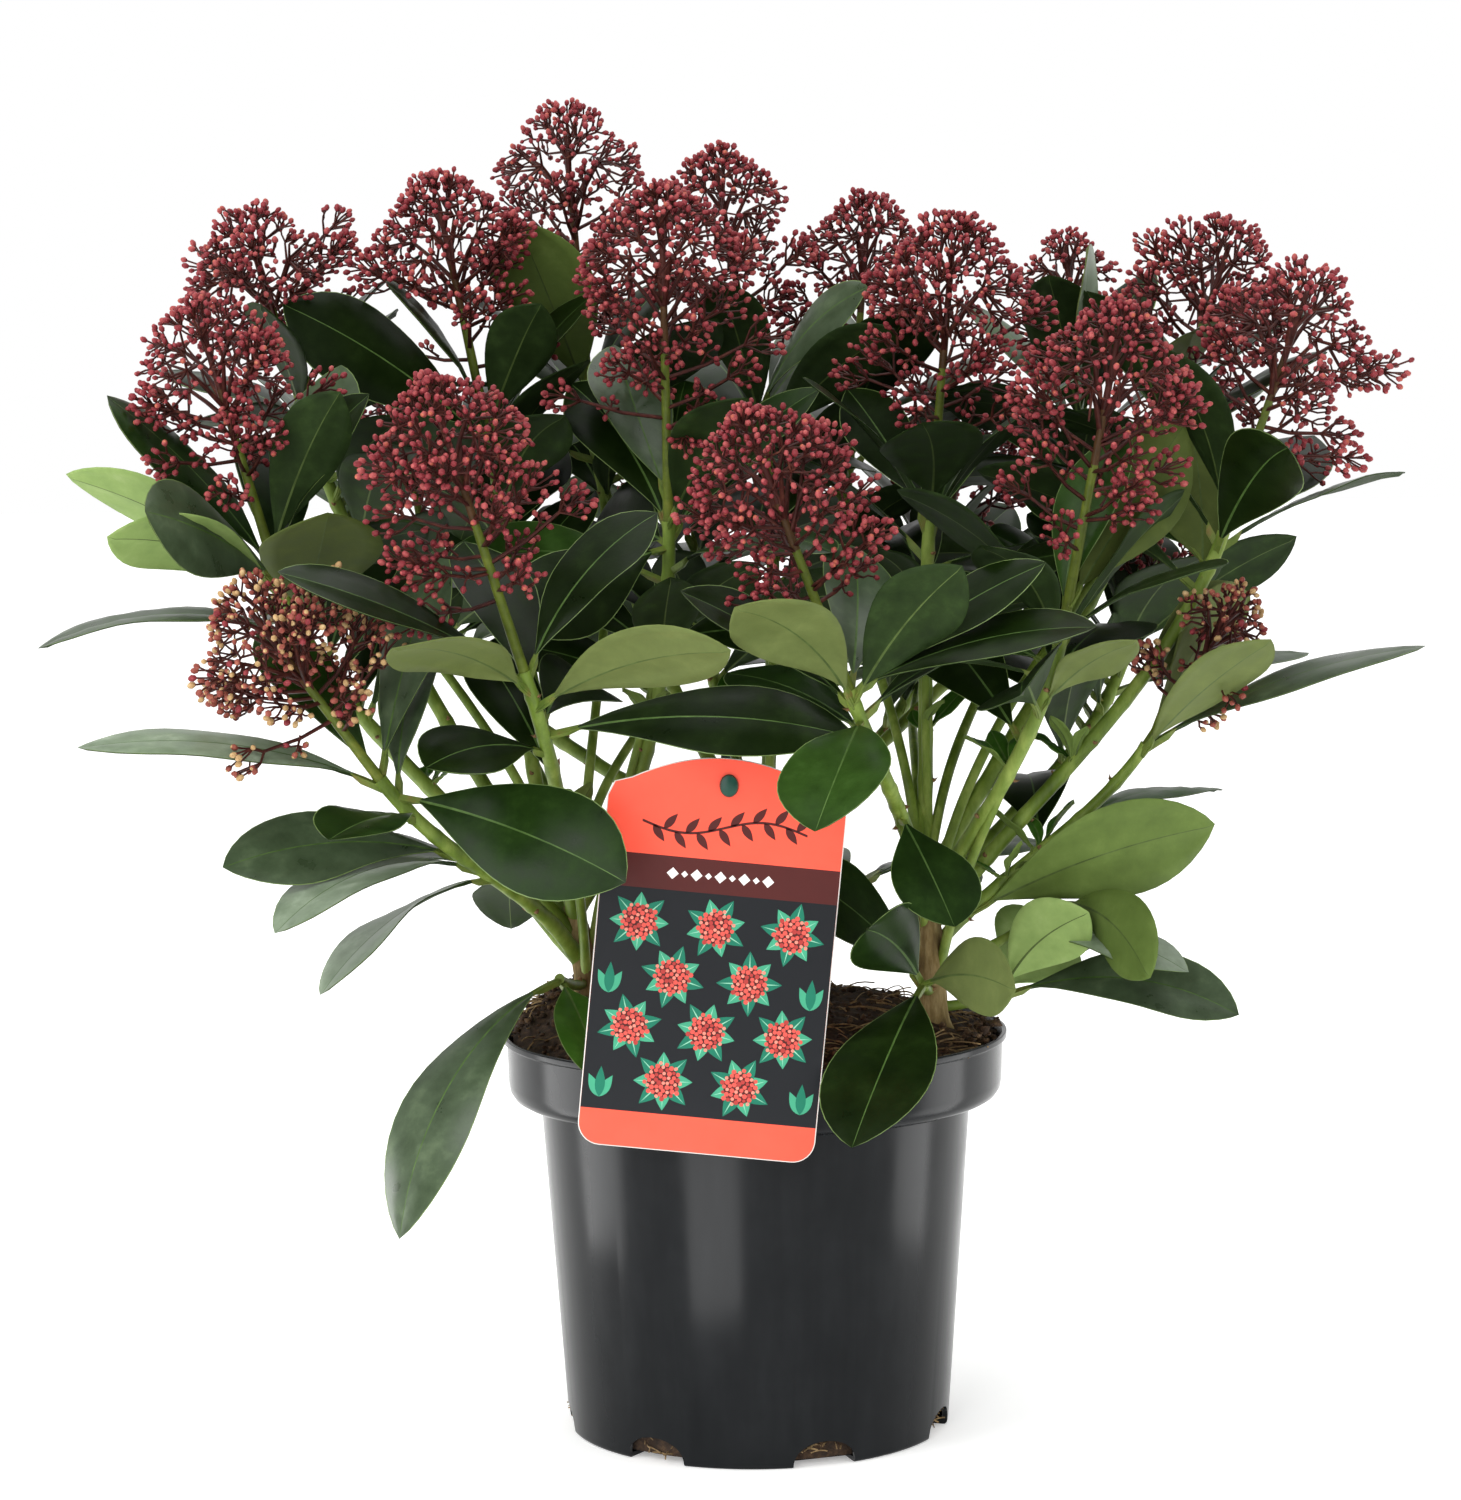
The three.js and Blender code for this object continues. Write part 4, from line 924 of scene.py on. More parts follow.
def add_scar(skin, centre, out, way, random):
    """A corky leaf scar with the dead stub of a bud over it."""
    size = lerp(1.0, 1.7, random())
    across = np.cross(way, out)
    turns = even_turns(6)
    ring = centre + np.outer(np.cos(turns) * size, across) + np.outer(np.sin(turns) * size * 0.7, way)
    raised = centre + out * 0.75 + np.outer(np.cos(turns) * size * 0.6, across)
    raised += np.outer(np.sin(turns) * size * 0.4, way)
    stub = centre + out * lerp(0.8, 2.2, random()) + way * 1.2
    to_stub = [(6 + k, 6 + (k + 1) % 6, 12) for k in range(6)]
    skin.add(np.concatenate([ring - out * 0.6, raised, [stub]]), grid_faces(2, 6) + to_stub, 1)


def make_boughs(shoots, paths):
    """Young stems from the woody stems to the whorls, with leaf nodes and their scars."""
    skin = Skin()
    for number, (shoot, path) in enumerate(zip(shoots, paths)):
        random = seeded(700 + number)
        girth = 0.7 if "apex" not in shoot else 0.85 if shoot.get("size", 1) < 0.7 else 1
        line = stem_line(path)
        along = lengths_along(line)
        spacing = lerp(15, 23, random())
        bumps = node_bumps(along, random() * spacing, spacing)
        radii = lerp(BOUGH["foot"], BOUGH["whorl"], along / along[-1]) * girth + bumps * girth
        add_tube(skin, tube(line, radii, 14, bark_relief(line, 0.16, 1.2, number * 5)), 0)
        ways = unit(np.gradient(line, axis=0))
        turn = random() * 6
        for row in range(3, len(line) - 2):
            if bumps[row] > max(bumps[row - 1], bumps[row + 1]):
                turn += math.radians(GOLDEN_ANGLE)
                side, across = square_to(ways[row], (1, 0.1, 0))
                out = side * math.cos(turn) + across * math.sin(turn)
                add_scar(skin, line[row] + out * radii[row] * 0.97, out, ways[row], random)
    by_name = {shoot["name"]: path for shoot, path in zip(shoots, paths)}
    side_stems = [(stem, *side_stem) for stem in SIDE_STEMS for side_stem in SIDE_STEMS[stem]]
    for number, (stem, rise, name, share) in enumerate(side_stems):
        line = side_stem_line(stem, rise, by_name[name], share)
        radii = np.linspace(BOUGH["side_foot"], BOUGH["side_top"], len(line))
        add_tube(skin, tube(line, radii, 10, bark_relief(line, 0.12, 1.2, number * 7)), 0)
    nodes = [f"{shoot['name']}_bough" for shoot in shoots if "apex" in shoot]
    make_piece("green_boughs", skin, [young_bark, leaf_scar], "bough", 60, *nodes)


def make_flower_stalks(paths):
    """The straight stalks in the panicles: green at first, then reddened, and maroon at the top."""
    skin = Skin()
    rows, sides = 24, 10
    rises = np.linspace(0, 1, rows)
    for number, path in enumerate(paths):
        foot, top = path["whorl"] - path["stalk"] * 4, path["apex"] - path["stalk"] * 12 * path["size"]
        line = lerp(foot, top, rises[:, None])
        radii = lerp(BOUGH["rachis"], BOUGH["top"], rises**1.3) * min(1, 0.5 + path["size"] / 2)
        finishes = [int(np.searchsorted([12, 16], row)) for row in range(rows - 1) for _ in range(sides)]
        add_tube(skin, tube(line, radii, sides, bark_relief(line, 0.12, 1.5, number * 3)), finishes)
    make_piece("flower_stalks", skin, [stalk_skin, stalk_blush, twig_skin], "bough", 60)


# Foliage and blossom

# How the leaves that show most look: for each look the shoots, and places in their lists.
UPPER_LOOKS = {
    DEEP: dict(left_mid=[0], left=[8], front_left=[0, 3, 4, 7, 8], front_mid=[2], centre=[7],
               right_front=[1, 3], far_right=[0, 3, 5], low_front_right=[0]),
    BOTTLE: dict(left=[0], low_left=[3, 7], low_front_right=[3]),
    MID: dict(low_left=[2], front_mid=[1], right_front=[9]),
    FRESH: dict(low_front_left=[1], low_right=[3]),
    # the two pale shades below are painted sheen, for leaves that mirror the bright room
    GREY_SHEEN: dict(left=[3, 4], low_left=[1, 4, 10], centre=[0], front_mid=[8], low_right=[1],
                centre_back=[0, 8], low_edge_right=[0], far_right=[1], low_front_left=[0]),
    SILVER_SHEEN: dict(low_left=[0, 5, 6], low_far_right=[1, 2]),
}
UNDER_LOOKS = {
    OLIVE: dict(front_mid=[0], front_left=[1, 2], low_right=[0, 7], low_front_right=[1],
                far_right_back=[9]),
    DULL_OLIVE: dict(right_front=[0]),
    BRIGHT_OLIVE: dict(top_back=[0], low_right=[2], low_far_right=[0]),
    LIME: dict(left=[1, 2]),
}
# Leaves that have come off, where the sky shows between the stems.
SHED = {("low_right", 5), ("low_left", 9), ("front_left", 5), ("far_right", 3), ("far_right", 7)}
# How far light has drawn a leaf from where it grew: round its stem, up, and about its midrib.
DRAWN = {
    ("front_left", 0): (0, 0, 22), ("low_left", 5): (-16, 0, 25), ("front_mid", 0): (0, 0, -14),
    ("front_left", 3): (0, 0, 14), ("right_front", 0): (76, 8, -100), ("right_front", 9): (-36, 0, -10),
    ("low_right", 7): (130, -15, -70), ("left", 3): (16, -4, 5), ("far_right", 1): (-8, -4, -45),
    ("low_front_right", 1): (-20, -12, -125), ("low_far_right", 0): (0, 0, -95),
    ("far_right_back", 9): (-4, -15, 10), ("low_left", 4): (-4, 0, 15), ("left", 10): (36, 16, 0),
    ("low_right", 3): (0, 0, -20), ("centre_back", 8): (20, -28, 55), ("far_right", 5): (28, -4, 165),
    ("low_front_right", 2): (-28, -12, -120),
}
# Where the leaves that shade the inside may end, how many are tried on each shoot, and how squarely
# they face the front.
INNER = dict(tries=190, side=160, front=-50, foot=292, over=24, below=70, near=90, facing=0.5)
# Leaves between the others: shoot, then as in the solids, and the look of each side.
FILLERS = [
    ("far_right", (90, 55, 70, 50, 12, 165, 20), DEEP, DULL_OLIVE),
    ("front_mid", (352, 34, 82, 27, 25, 40, 2), DEEP, SHADED),
    ("front_mid", (305, -50, 50, 36, 20, 5, 74), BOTTLE, DULL_OLIVE),
    ("low_edge_right", (322, 40, 50, 28, 20, -60, -2), BOTTLE, LIME),
    ("low_edge_right", (50, 30, 44, 38, 20, -125, 0), BOTTLE, LIME),
    ("left", (240, 20, 82, 36, 30, -65, 6), GREY_SHEEN, DULL_OLIVE),
    ("left", (285, 30, 87, 44, 20, -10, 24), GREY_SHEEN, DULL_OLIVE),
    ("far_right", (35, 30, 70, 26, 25, -90, 70), BOTTLE, OLIVE),
    ("right_front", (315, 30, 53, 24, 40, -25, 30), BOTTLE, OLIVE),
    ("right_back", (270, 60, 88, 28, 25, -120, 2), SILVER_SHEEN, OLIVE),
    ("centre", (110, 5, 90, 34, 30, -60, 10), DEEP, SHADED),
    ("centre", (120, 15, 90, 34, 30, -15, 40), DEEP, SHADED),
    ("centre_back", (135, -30, 84, 36, 30, -55, 14), DEEP, SHADED),
]


def by_leaf(looks):
    """The look of each leaf, by its shoot and its place in the shoot's list."""
    return {(name, number): look for look, shoots in looks.items()
            for name, numbers in shoots.items() for number in numbers}


def upper_shade(draw):
    """Which dark shade a leaf has that no list names."""
    return int(np.searchsorted([0.55, 0.88], draw))


def grown_leaves(shoots, paths, seeds):
    """Every leaf that the solids have, with its shoot and its place in the shoot's list."""
    for shoot, path, seed in zip(shoots, paths, seeds):
        corners = corners_of(f"{shoot['name']}_mass")
        for number, leaf in enumerate(whorl_leaves(shoot, path, seed)):
            leaf = placed(leaf, corners)
            if leaf:
                yield shoot["name"], number, leaf


# Small shoots that break from old leaf nodes: bough, share up it, and their turn round it.
SPROUTS = [("low_right", 0.5, 20), ("low_right", 0.36, 200), ("mid_right", 0.42, 300),
           ("far_right", 0.45, 130), ("front_left", 0.4, 250), ("centre", 0.5, 200),
           ("right_front", 0.55, 30), ("left", 0.45, 300), ("top_back", 0.45, 240), ("rear_mid", 0.5, 60)]


def sprout_leaves(paths_by_name):
    """Three young leaves on each small shoot."""
    for number, (name, share, turn) in enumerate(SPROUTS):
        random = seeded(1500 + number)
        root = paths_by_name[name]["at"](share)
        for k in range(3):
            length = lerp(15, 27, random())
            yield dict(root=root, turn=turn + k * 70 + random() * 30, lift=lerp(25, 60, random()),
                       length=length, width=length * 0.34, droop=lerp(15, 40, random()),
                       roll=(random() - 0.5) * 50)


def filler_leaves(paths_by_name):
    """Leaves that the photo shows beside the solids' own, with the look of each side."""
    for name, sizes, upper, under in FILLERS:
        leaf = dict(zip(LEAF_KEYS, sizes))
        leaf["root"] = leaf_root(paths_by_name[name], leaf["below"])
        yield name, leaf, upper, under, False


def inner_leaves(shoots, paths_by_name):
    """Leaves that shade the inside, with the look of each side."""
    for number, shoot in enumerate(shoots):
        random = seeded(6000 + number)
        path = paths_by_name[shoot["name"]]
        for _ in range(INNER["tries"]):
            length, below = lerp(46, 84, random()), lerp(-4, INNER["below"], random())
            leaf = dict(turn=random() * 360, lift=lerp(-4, 58, random()), length=length,
                        width=length * 0.4, droop=lerp(20, 50, random()), roll=(random() - 0.5) * 90,
                        root=leaf_root(path, below))
            look = upper_shade(random() * 0.88)
            x, y, z = leaf_frame(leaf, 1)[0]
            across, deep = abs(x) < INNER["side"], y > INNER["front"]
            level = INNER["foot"] < z < path["whorl"][2] + INNER["over"]
            facing = abs(leaf_frame(leaf, 0.5)[2][1]) >= INNER["facing"]
            if across and deep and level and facing:
                # their undersides are in the painted shade
                yield shoot["name"], leaf, look, SHADED, True


def make_foliage(shoots, sprigs, paths, sprig_paths):
    """Leaves, in one piece for each side of the plant, and the tree that finds them."""
    sides = {"left": Skin(), "right": Skin(), "back": Skin()}
    side_of = {shoot["name"]: shoot["stem"].split("_")[0] for shoot in shoots + sprigs}
    seeds = [101 + i * 31 for i in range(len(shoots))] + [0] * len(sprigs)
    everyone, ways = shoots + sprigs, paths + sprig_paths
    by_name = {shoot["name"]: path for shoot, path in zip(everyone, ways)}
    upper_of, under_of = by_leaf(UPPER_LOOKS), by_leaf(UNDER_LOOKS)
    tree_points, tree_faces = [], []

    def add_leaf(name, points, upper, under):
        lines = len(upper_shades) + len(under_shades)
        finish = [upper, len(upper_shades) + under, lines, lines + 1, lines + 2, lines + 3]
        sides[side_of[name]].add(points, LEAF_FACES, [finish[kind] for kind in LEAF_KINDS])
        start = len(tree_points)
        tree_points.extend(points.tolist())
        tree_faces.extend([tuple(start + k for k in face) for face in LEAF_FACES])

    for count, (name, number, leaf) in enumerate(grown_leaves(everyone, ways, seeds)):
        random = seeded(4000 + count)
        for key, drawn in zip(("turn", "lift", "roll"), DRAWN.get((name, number), (0, 0, 0))):
            leaf[key] += drawn
        points = leaf_points(leaf, random)
        if (name, number) not in SHED:
            # undersides that no list names are in the painted shade
            add_leaf(name, points, upper_of.get((name, number), upper_shade(random())),
                     under_of.get((name, number), SHADED))
    grown, added = BVHTree.FromPolygons(tree_points, tree_faces), []
    more = [*filler_leaves(by_name), *inner_leaves(shoots, by_name)]
    for count, (name, leaf, upper, under, only_free) in enumerate(more):
        points = leaf_points(leaf, seeded(4500 + count))
        blade, middle = BVHTree.FromPolygons(points.tolist(), LEAF_FACES), points.mean(0)
        near = [other for other, place in added if np.linalg.norm(place - middle) < INNER["near"]]
        if only_free and any(other.overlap(blade) for other in [grown, *near]):
            continue
        added.append((blade, middle))
        add_leaf(name, points, upper, under)
    for count, leaf in enumerate(sprout_leaves(by_name)):
        add_leaf("right_front", leaf_points(leaf, seeded(4900 + count)), FRESH, BRIGHT_OLIVE)
    for side, skin in sides.items():
        masses = [f"{name}_mass" for name in side_of if side_of[name] == side]
        make_piece(f"{side}_leaves", skin, leaf_finishes, "foliage", 75, *masses)
    return BVHTree.FromPolygons(tree_points, tree_faces)


def make_blossom(shoots, paths, leaf_tree):
    """Panicles of buds, in four pieces from left to right, and the twigs that carry the buds."""
    heads = {side: Blossom(leaf_tree) for side in ("far_left", "left", "right", "far_right")}
    borders = [-115, -5, 120]
    for i, (shoot, path) in enumerate(zip(shoots, paths)):
        blossom = list(heads.values())[int(np.searchsorted(borders, path["apex"][0]))]
        tint = faded_tint if shoot["name"] in FADED_PANICLES else red_tint
        corners = corners_of(f"{shoot['name']}_mass")
        seed = 11 + i * 17
        grow_dome(blossom, path, seed, tint, shoot["name"] in OPEN_PANICLES)
        for k, twig in enumerate(panicle_twigs(path, seed)):
            if stands(corners, twig["tip"] + twig["way"] * twig["radius"] * 0.8):
                grow_cluster(blossom, twig, 2000 + i * 10 + k, tint, PANICLE["cluster_buds"])
        for k, twig in enumerate(skirt_twigs(path, seed)):
            grow_cluster(blossom, twig, 3000 + i * 10 + k, tint, PANICLE["skirt_buds"])
    for side, blossom in heads.items():
        buds, twigs = Skin(), Skin()
        add_buds(buds, blossom)
        make_piece(f"{side}_flower_buds", buds, bud_finishes, "foliage", 80)
        starts, ends, start_radii, end_radii = (np.array(part) for part in zip(*blossom.twigs))
        add_rods(twigs, starts, ends, start_radii, end_radii, 3, 0)
        make_piece(f"{side}_flower_twigs", twigs, [twig_skin], "foliage", 180)


# Pot and compost

# Injection-moulded polypropylene, anthracite: a soft sheen, faint flow streaks up the wall and soft
# blotches.
def moulded_plastic():
    material, tree, shader, place = new_finish("moulded_anthracite_polypropylene")
    tall = add_node(tree, "ShaderNodeMapping", {"Vector": place, "Scale": (1, 1, 0.12)}).outputs[0]
    streaks = add_node(tree, "ShaderNodeTexNoise", {"Vector": tall, "Scale": per_metre(7), "Detail": 4.0})
    blotches = add_node(tree, "ShaderNodeTexNoise", {
        "Vector": place, "Scale": per_metre(30), "Detail": 6.0, "Roughness": 0.65}).outputs["Fac"]
    both = add_node(tree, "ShaderNodeMath", {0: streaks.outputs["Fac"], 1: blotches}, operation="ADD")
    half = add_node(tree, "ShaderNodeMath", {0: both.outputs[0], 1: 0.5}, operation="MULTIPLY")
    colours = add_node(tree, "ShaderNodeValToRGB", {"Fac": half.outputs[0]},
                       ramp=[(0.3, "#121416"), (0.5, "#17191B"), (0.72, "#1E2022")])
    rough = add_node(tree, "ShaderNodeMapRange", {
        "Value": blotches, "From Min": 0.3, "From Max": 0.7, "To Min": 0.17, "To Max": 0.25})
    grain = add_node(tree, "ShaderNodeTexNoise", {"Vector": place, "Scale": per_metre(0.9), "Detail": 2.0})
    bump = add_node(tree, "ShaderNodeBump", {
        "Height": grain.outputs["Fac"], "Strength": 0.12, "Distance": 0.03 * MM})
    set_inputs(tree, shader, {
        "Base Color": colours.outputs["Color"], "Roughness": rough.outputs["Result"],
        "Normal": bump.outputs["Normal"], "IOR": 1.49, "Specular IOR Level": 0.12})
    return material


def rounded(profile, roundings):
    """A profile with each corner that has a rounding turned on an arc."""
    out = []
    for k, (corner, rounding) in enumerate(zip(profile, roundings)):
        corner = np.array(corner, float)
        if not rounding:
            out.append(corner)
            continue
        before, after = np.array(profile[k - 1], float), np.array(profile[(k + 1) % len(profile)], float)
        start = corner + unit(before - corner) * rounding
        end = corner + unit(after - corner) * rounding
        out.extend(bent(start, corner, end, np.linspace(0, 1, 5)[:, None]))
    return np.array(out)


def pot_profile():
    """The pot's wall in section, as radius and height: up its outside and down its inside."""
    top, wall, foot, turned = POT["height"], POT["wall"], POT["collar_foot"], POT["rounding"]
    shelf, lip = top - POT["collar_height"], top - POT["lip"]
    outer = [(POT["base"] * 0.8, 0), (POT["base"], 0), (POT["body_top"], shelf), (foot, shelf),
             (POT["collar"], lip), (POT["rim"], lip + 0.6), (POT["rim"], top)]
    inner = [(POT["rim"] - wall, top), (POT["collar"] - wall, lip), (foot - wall, shelf + wall),
             (POT["body_top"] - wall, shelf + wall), (POT["base"] - wall, wall), (POT["base"] * 0.8, wall)]
    roundings = [0, 1.5, 0.8, turned, 0.5, 0.4, 0.6, 0.6, 0.6, turned - wall, 0.6, 1.5, 0]
    return rounded(outer + inner, roundings)


def lathe_rings(profile, sides):
    """A profile of radii and heights, turned round the upright axis."""
    turns = even_turns(sides)
    rings = np.empty((len(profile), sides, 3))
    rings[..., 0] = profile[:, :1] * np.cos(turns)
    rings[..., 1] = profile[:, :1] * np.sin(turns)
    rings[..., 2] = profile[:, 1:]
    return rings


def prism_walls(sides):
    """Faces between two rings of points."""
    return [(k, (k + 1) % sides, sides + (k + 1) % sides, sides + k) for k in range(sides)]


def notch_turns():
    """Where the drain notches stand round the pot."""
    return [math.radians(DRAIN["first_turn"] + i * 360 / DRAIN["count"]) for i in range(DRAIN["count"])]


def notch_cutter(name, turn):
    """A block with an arched top, through the foot of the wall."""
    out = np.array([math.cos(turn), math.sin(turn), 0])
    side = np.array([-math.sin(turn), math.cos(turn), 0])
    arch = np.radians(np.linspace(8, 172, 15))
    ring = np.outer(np.cos(arch) * DRAIN["width"] / 2, side)
    ring[:, 2] += np.sin(arch)**0.8 * DRAIN["height"]
    feet = [side * way * DRAIN["width"] / 2 + [0, 0, -5] for way in (-1, 1)]
    ring = np.concatenate([ring, feet])
    near, far = POT["base"] - DRAIN["depth"], POT["base"] + DRAIN["depth"]
    n = len(ring)
    ends = [tuple(range(n - 1, -1, -1)), tuple(range(n, 2 * n))]
    return new_object(name, np.concatenate([ring + out * near, ring + out * far]), prism_walls(n) + ends)


def make_pot():
    """The pot: turned from its profile, with arched drain notches cut through its foot."""
    rings = lathe_rings(pot_profile(), POT["sides"])
    pot = new_object("nursery_pot", *closed_rings(rings, (0, 0, 0), (0, 0, POT["wall"])))
    cutters = [notch_cutter(f"notch_{i}", turn) for i, turn in enumerate(notch_turns())]
    for cutter in cutters:
        cut = pot.modifiers.new("notch", "BOOLEAN")
        cut.operation, cut.object, cut.solver = "DIFFERENCE", cutter, "EXACT"
    shaped = bpy.data.meshes.new_from_object(pot.evaluated_get(bpy.context.evaluated_depsgraph_get()))
    pot.modifiers.clear()
    pot.data = shaped
    for cutter in cutters:
        bpy.data.objects.remove(cutter)
    shaped.materials.append(moulded_plastic())
    shaped.polygons.foreach_set("use_smooth", np.ones(len(shaped.polygons), bool))
    shaped.set_sharp_from_angle(angle=math.radians(28))
    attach(pot, "root")
    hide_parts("pot")


def compost_top(x, y):
    """Height of the compost at a place: a low mound, heaped higher at the left."""
    far = np.hypot(x, y) / (POT["rim"] - POT["wall"])
    heap = np.maximum(0, 1 - np.hypot(x - HEAP["x"], y - HEAP["y"]) / HEAP["radius"])
    ripple = np.sin(x * 0.13 + 1) * np.cos(y * 0.11) * 1.6 * (1 - far)
    return lerp(COMPOST["mound"], COMPOST["edge"], far**4) + HEAP["height"] * heap + ripple


def rough_peat(x, y):
    """Relief of the compost: clods with crumbs on them."""
    clods = noise.fractal(Vector((x, y, 0)) / 9, 0.9, 2.1, 4)
    crumbs = noise.fractal(Vector((x + 40, y, 0)) / 2.6, 0.8, 2.2, 3)
    return 1.9 * clods + 0.8 * crumbs


# Peat compost: matt, near black where it is moist, with dry brown crumbs.
peat = organic("moist_peat", ("#1F150D", "#35261A", "#4B3826", "#6B5338"), 2.6, 0.95, 0.8, 0.6, ior=1.4,
               stops=(0.3, 0.5, 0.66, 0.8))
peat_crumb = organic("dry_peat_crumb", ("#2E2014", "#4A3624", "#7A6246"), 1.6, 0.95, 0.6, 0.4, ior=1.4,
                     stops=(0.3, 0.5, 0.75))
# Plant fibres: dry straw-coloured strands that lie in the peat.
fibre = organic("dry_plant_fibre", ("#5E4A30", "#866E4A", "#AA9468"), 3, 0.85, 0.5, 0.1, ior=1.4)
PEAT, CRUMB, FIBRE = range(3)
# How many crumbs lie anywhere, on the heap and over the right rim, and how many fibres lie anywhere
# and show in each drain notch.
STREWN = dict(crumbs=1300, heap_crumbs=420, rim_crumbs=120, fibres=330, notch_fibres=12)


def make_compost():
    """The peat that fills the pot, with its rough top, loose crumbs and fibres."""
    gap = POT["wall"] + COMPOST["gap"]
    shelf = POT["height"] - POT["collar_height"]
    base = POT["base"] - gap
    tops = np.concatenate([np.linspace(0.6, 88, 60), [POT["collar"] - gap - 0.4]])
    walls = [(POT["collar_foot"] - gap, shelf + 6), (POT["collar_foot"] - 7 - gap, shelf + gap),
             (POT["body_top"] - gap, shelf + gap), (base + 1, 16), (base + 0.6, 12), (base, 8),
             (base - 0.6, 5), (base - 1.5, 2.2), (40, 2), (1, 2)]
    profile = np.array([(r, 0) for r in tops] + walls)
    rings = lathe_rings(profile, COMPOST["sides"])
    for ring, top in zip(rings, tops):
        edge = min(1, (POT["collar"] - gap - top) / 6 + 0.35)
        for point in ring:
            point[2] = compost_top(*point[:2]) + rough_peat(*point[:2]) * edge
    for ring in rings[len(tops):-2]:
        for point in ring:
            point[:2] *= 1 - 0.011 * (1 + noise.fractal(Vector(point) / 5, 0.9, 2.1, 3))
    # the profile runs from the top down, so its faces are turned over
    points, faces = closed_rings(rings, (0, 0, compost_top(0, 0)), (0, 0, 2))
    skin = Skin()
    skin.add(points, [face[::-1] for face in faces], PEAT)
    add_crumbs(skin, seeded(31))
    add_fibres(skin, seeded(47))
    make_piece("peat_compost", skin, [peat, peat_crumb, fibre], "compost", 60, "compost")


def surface_place(random, radius):
    """A place on the compost, more often towards the rim, and its height."""
    turn, r = random() * 2 * math.pi, radius * random()**0.42
    x, y = r * math.cos(turn), r * math.sin(turn)
    return x, y, compost_top(x, y) + rough_peat(x, y) * 0.8


def add_crumbs(skin, random):
    """Loose crumbs on the compost, thickest on the heap at the left and over the right rim."""
    t = (1 + math.sqrt(5)) / 2
    ball = unit([(-1, t, 0), (1, t, 0), (-1, -t, 0), (1, -t, 0), (0, -1, t), (0, 1, t), (0, -1, -t),
                 (0, 1, -t), (t, 0, -1), (t, 0, 1), (-t, 0, -1), (-t, 0, 1)])
    faces = [(0, 11, 5), (0, 5, 1), (0, 1, 7), (0, 7, 10), (0, 10, 11), (1, 5, 9), (5, 11, 4),
             (11, 10, 2), (10, 7, 6), (7, 1, 8), (3, 9, 4), (3, 4, 2), (3, 2, 6), (3, 6, 8), (3, 8, 9),
             (4, 9, 5), (2, 4, 11), (6, 2, 10), (8, 6, 7), (9, 8, 1)]
    places = [surface_place(random, 90) for _ in range(STREWN["crumbs"])]
    for _ in range(STREWN["heap_crumbs"]):
        x, y = HEAP["x"] + (random() - 0.6) * 50, HEAP["y"] + (random() - 0.5) * 62
        if math.hypot(x, y) < 92:
            places.append((x, y, compost_top(x, y) + rough_peat(x, y) + 0.8))
    for _ in range(STREWN["rim_crumbs"]):
        turn = math.radians(lerp(-28, 2, random()))
        r = lerp(84, 92, random())
        x, y = r * math.cos(turn), r * math.sin(turn)
        places.append((x, y, lerp(compost_top(x, y), 154.5, random())))
    for x, y, z in places:
        size = lerp(0.5, 2.3, random()**2.2)
        lumps = np.array([lerp(0.65, 1.25, random()) for _ in ball])[:, None]
        turned = ball * lumps * size * [lerp(0.7, 1.3, random()), 1, lerp(0.5, 1, random())]
        skin.add(turned + [x, y, z + size * 0.2], faces, CRUMB if random() < 0.6 else PEAT)


def add_fibres(skin, random):
    """Thin dry strands that curl out of the compost, and roots that show in the drain notches."""
    for _ in range(STREWN["fibres"]):
        x, y, z = surface_place(random, 89)
        add_strand(skin, random, np.array([x, y, z + 0.3]), lerp(5, 22, random()), 1.4)
    r = POT["base"] - 2.6
    for turn in notch_turns():
        for _ in range(STREWN["notch_fibres"]):
            a = turn + (random() - 0.5) * 0.26
            middle = np.array([r * math.cos(a), r * math.sin(a), lerp(2.5, 9, random())])
            add_strand(skin, random, middle, lerp(4, 9, random()), 0.7)


def add_strand(skin, random, middle, length, bow):
    """One fibre that bows to a side and up between its ends."""
    turn = random() * 2 * math.pi
    way = np.array([math.cos(turn), math.sin(turn), (random() - 0.45) * 0.5])
    side = np.array([-way[1], way[0], random()]) * bow * (random() - 0.5) * 2
    s = np.linspace(-1, 1, 7)[:, None]
    line = middle + way * s * length / 2 + side * (1 - s * s) * length * 0.12
    line = line + [0, 0, 1] * (1 - s * s) * lerp(0.2, 1.4, random()) * bow
    thick = lerp(0.18, 0.4, random())
    add_tube(skin, tube(line, np.full(7, thick), 3), FIBRE)


# Label and stake

def printed(name, code):
    """Ink on a plastic card: a flat colour, a little uneven, under a clear gloss."""
    channels = [int(code[k:k + 2], 16) for k in (1, 3, 5)]
    shades = ["#" + "".join(f"{min(255, int(c * share)):02X}" for c in channels) for share in (0.98, 1.02)]
    return organic(name, shades, 11, 0.36, 0.5, 0.01, gloss=0.22, ior=1.5, stops=(0.35, 0.65))


def rounded_card(inset=0.0):
    """Outline of the label from its lower left corner, about the hole."""
    half, low = LABEL["width"] / 2 - inset, LABEL["hole_drop"] - LABEL["height"] + inset
    corner, shoulder = LABEL["corner"] - inset, LABEL["hole_drop"] - LABEL["arch"] - inset * 0.5
    left = [(-half + corner * (1 - math.cos(a)), low + corner * (1 - math.sin(a)))
            for a in np.linspace(0, math.pi / 2, 9)]
    right = [(-x, z) for x, z in left[::-1]]
    right_shoulder = [(half, shoulder - 6), (half - 2, shoulder - 1)]
    left_shoulder = [(-x, z) for x, z in right_shoulder[::-1]]
    arch_top = LABEL["hole_drop"] + LABEL["arch"] - inset
    ends = np.array([(half - 8, shoulder + 1), (8 - half, shoulder + 1)])
    arch = bent(ends[0], np.array([0, arch_top]), ends[1], np.linspace(0, 1, 21)[:, None])
    return [*left, *right, *right_shoulder, *arch, *left_shoulder]


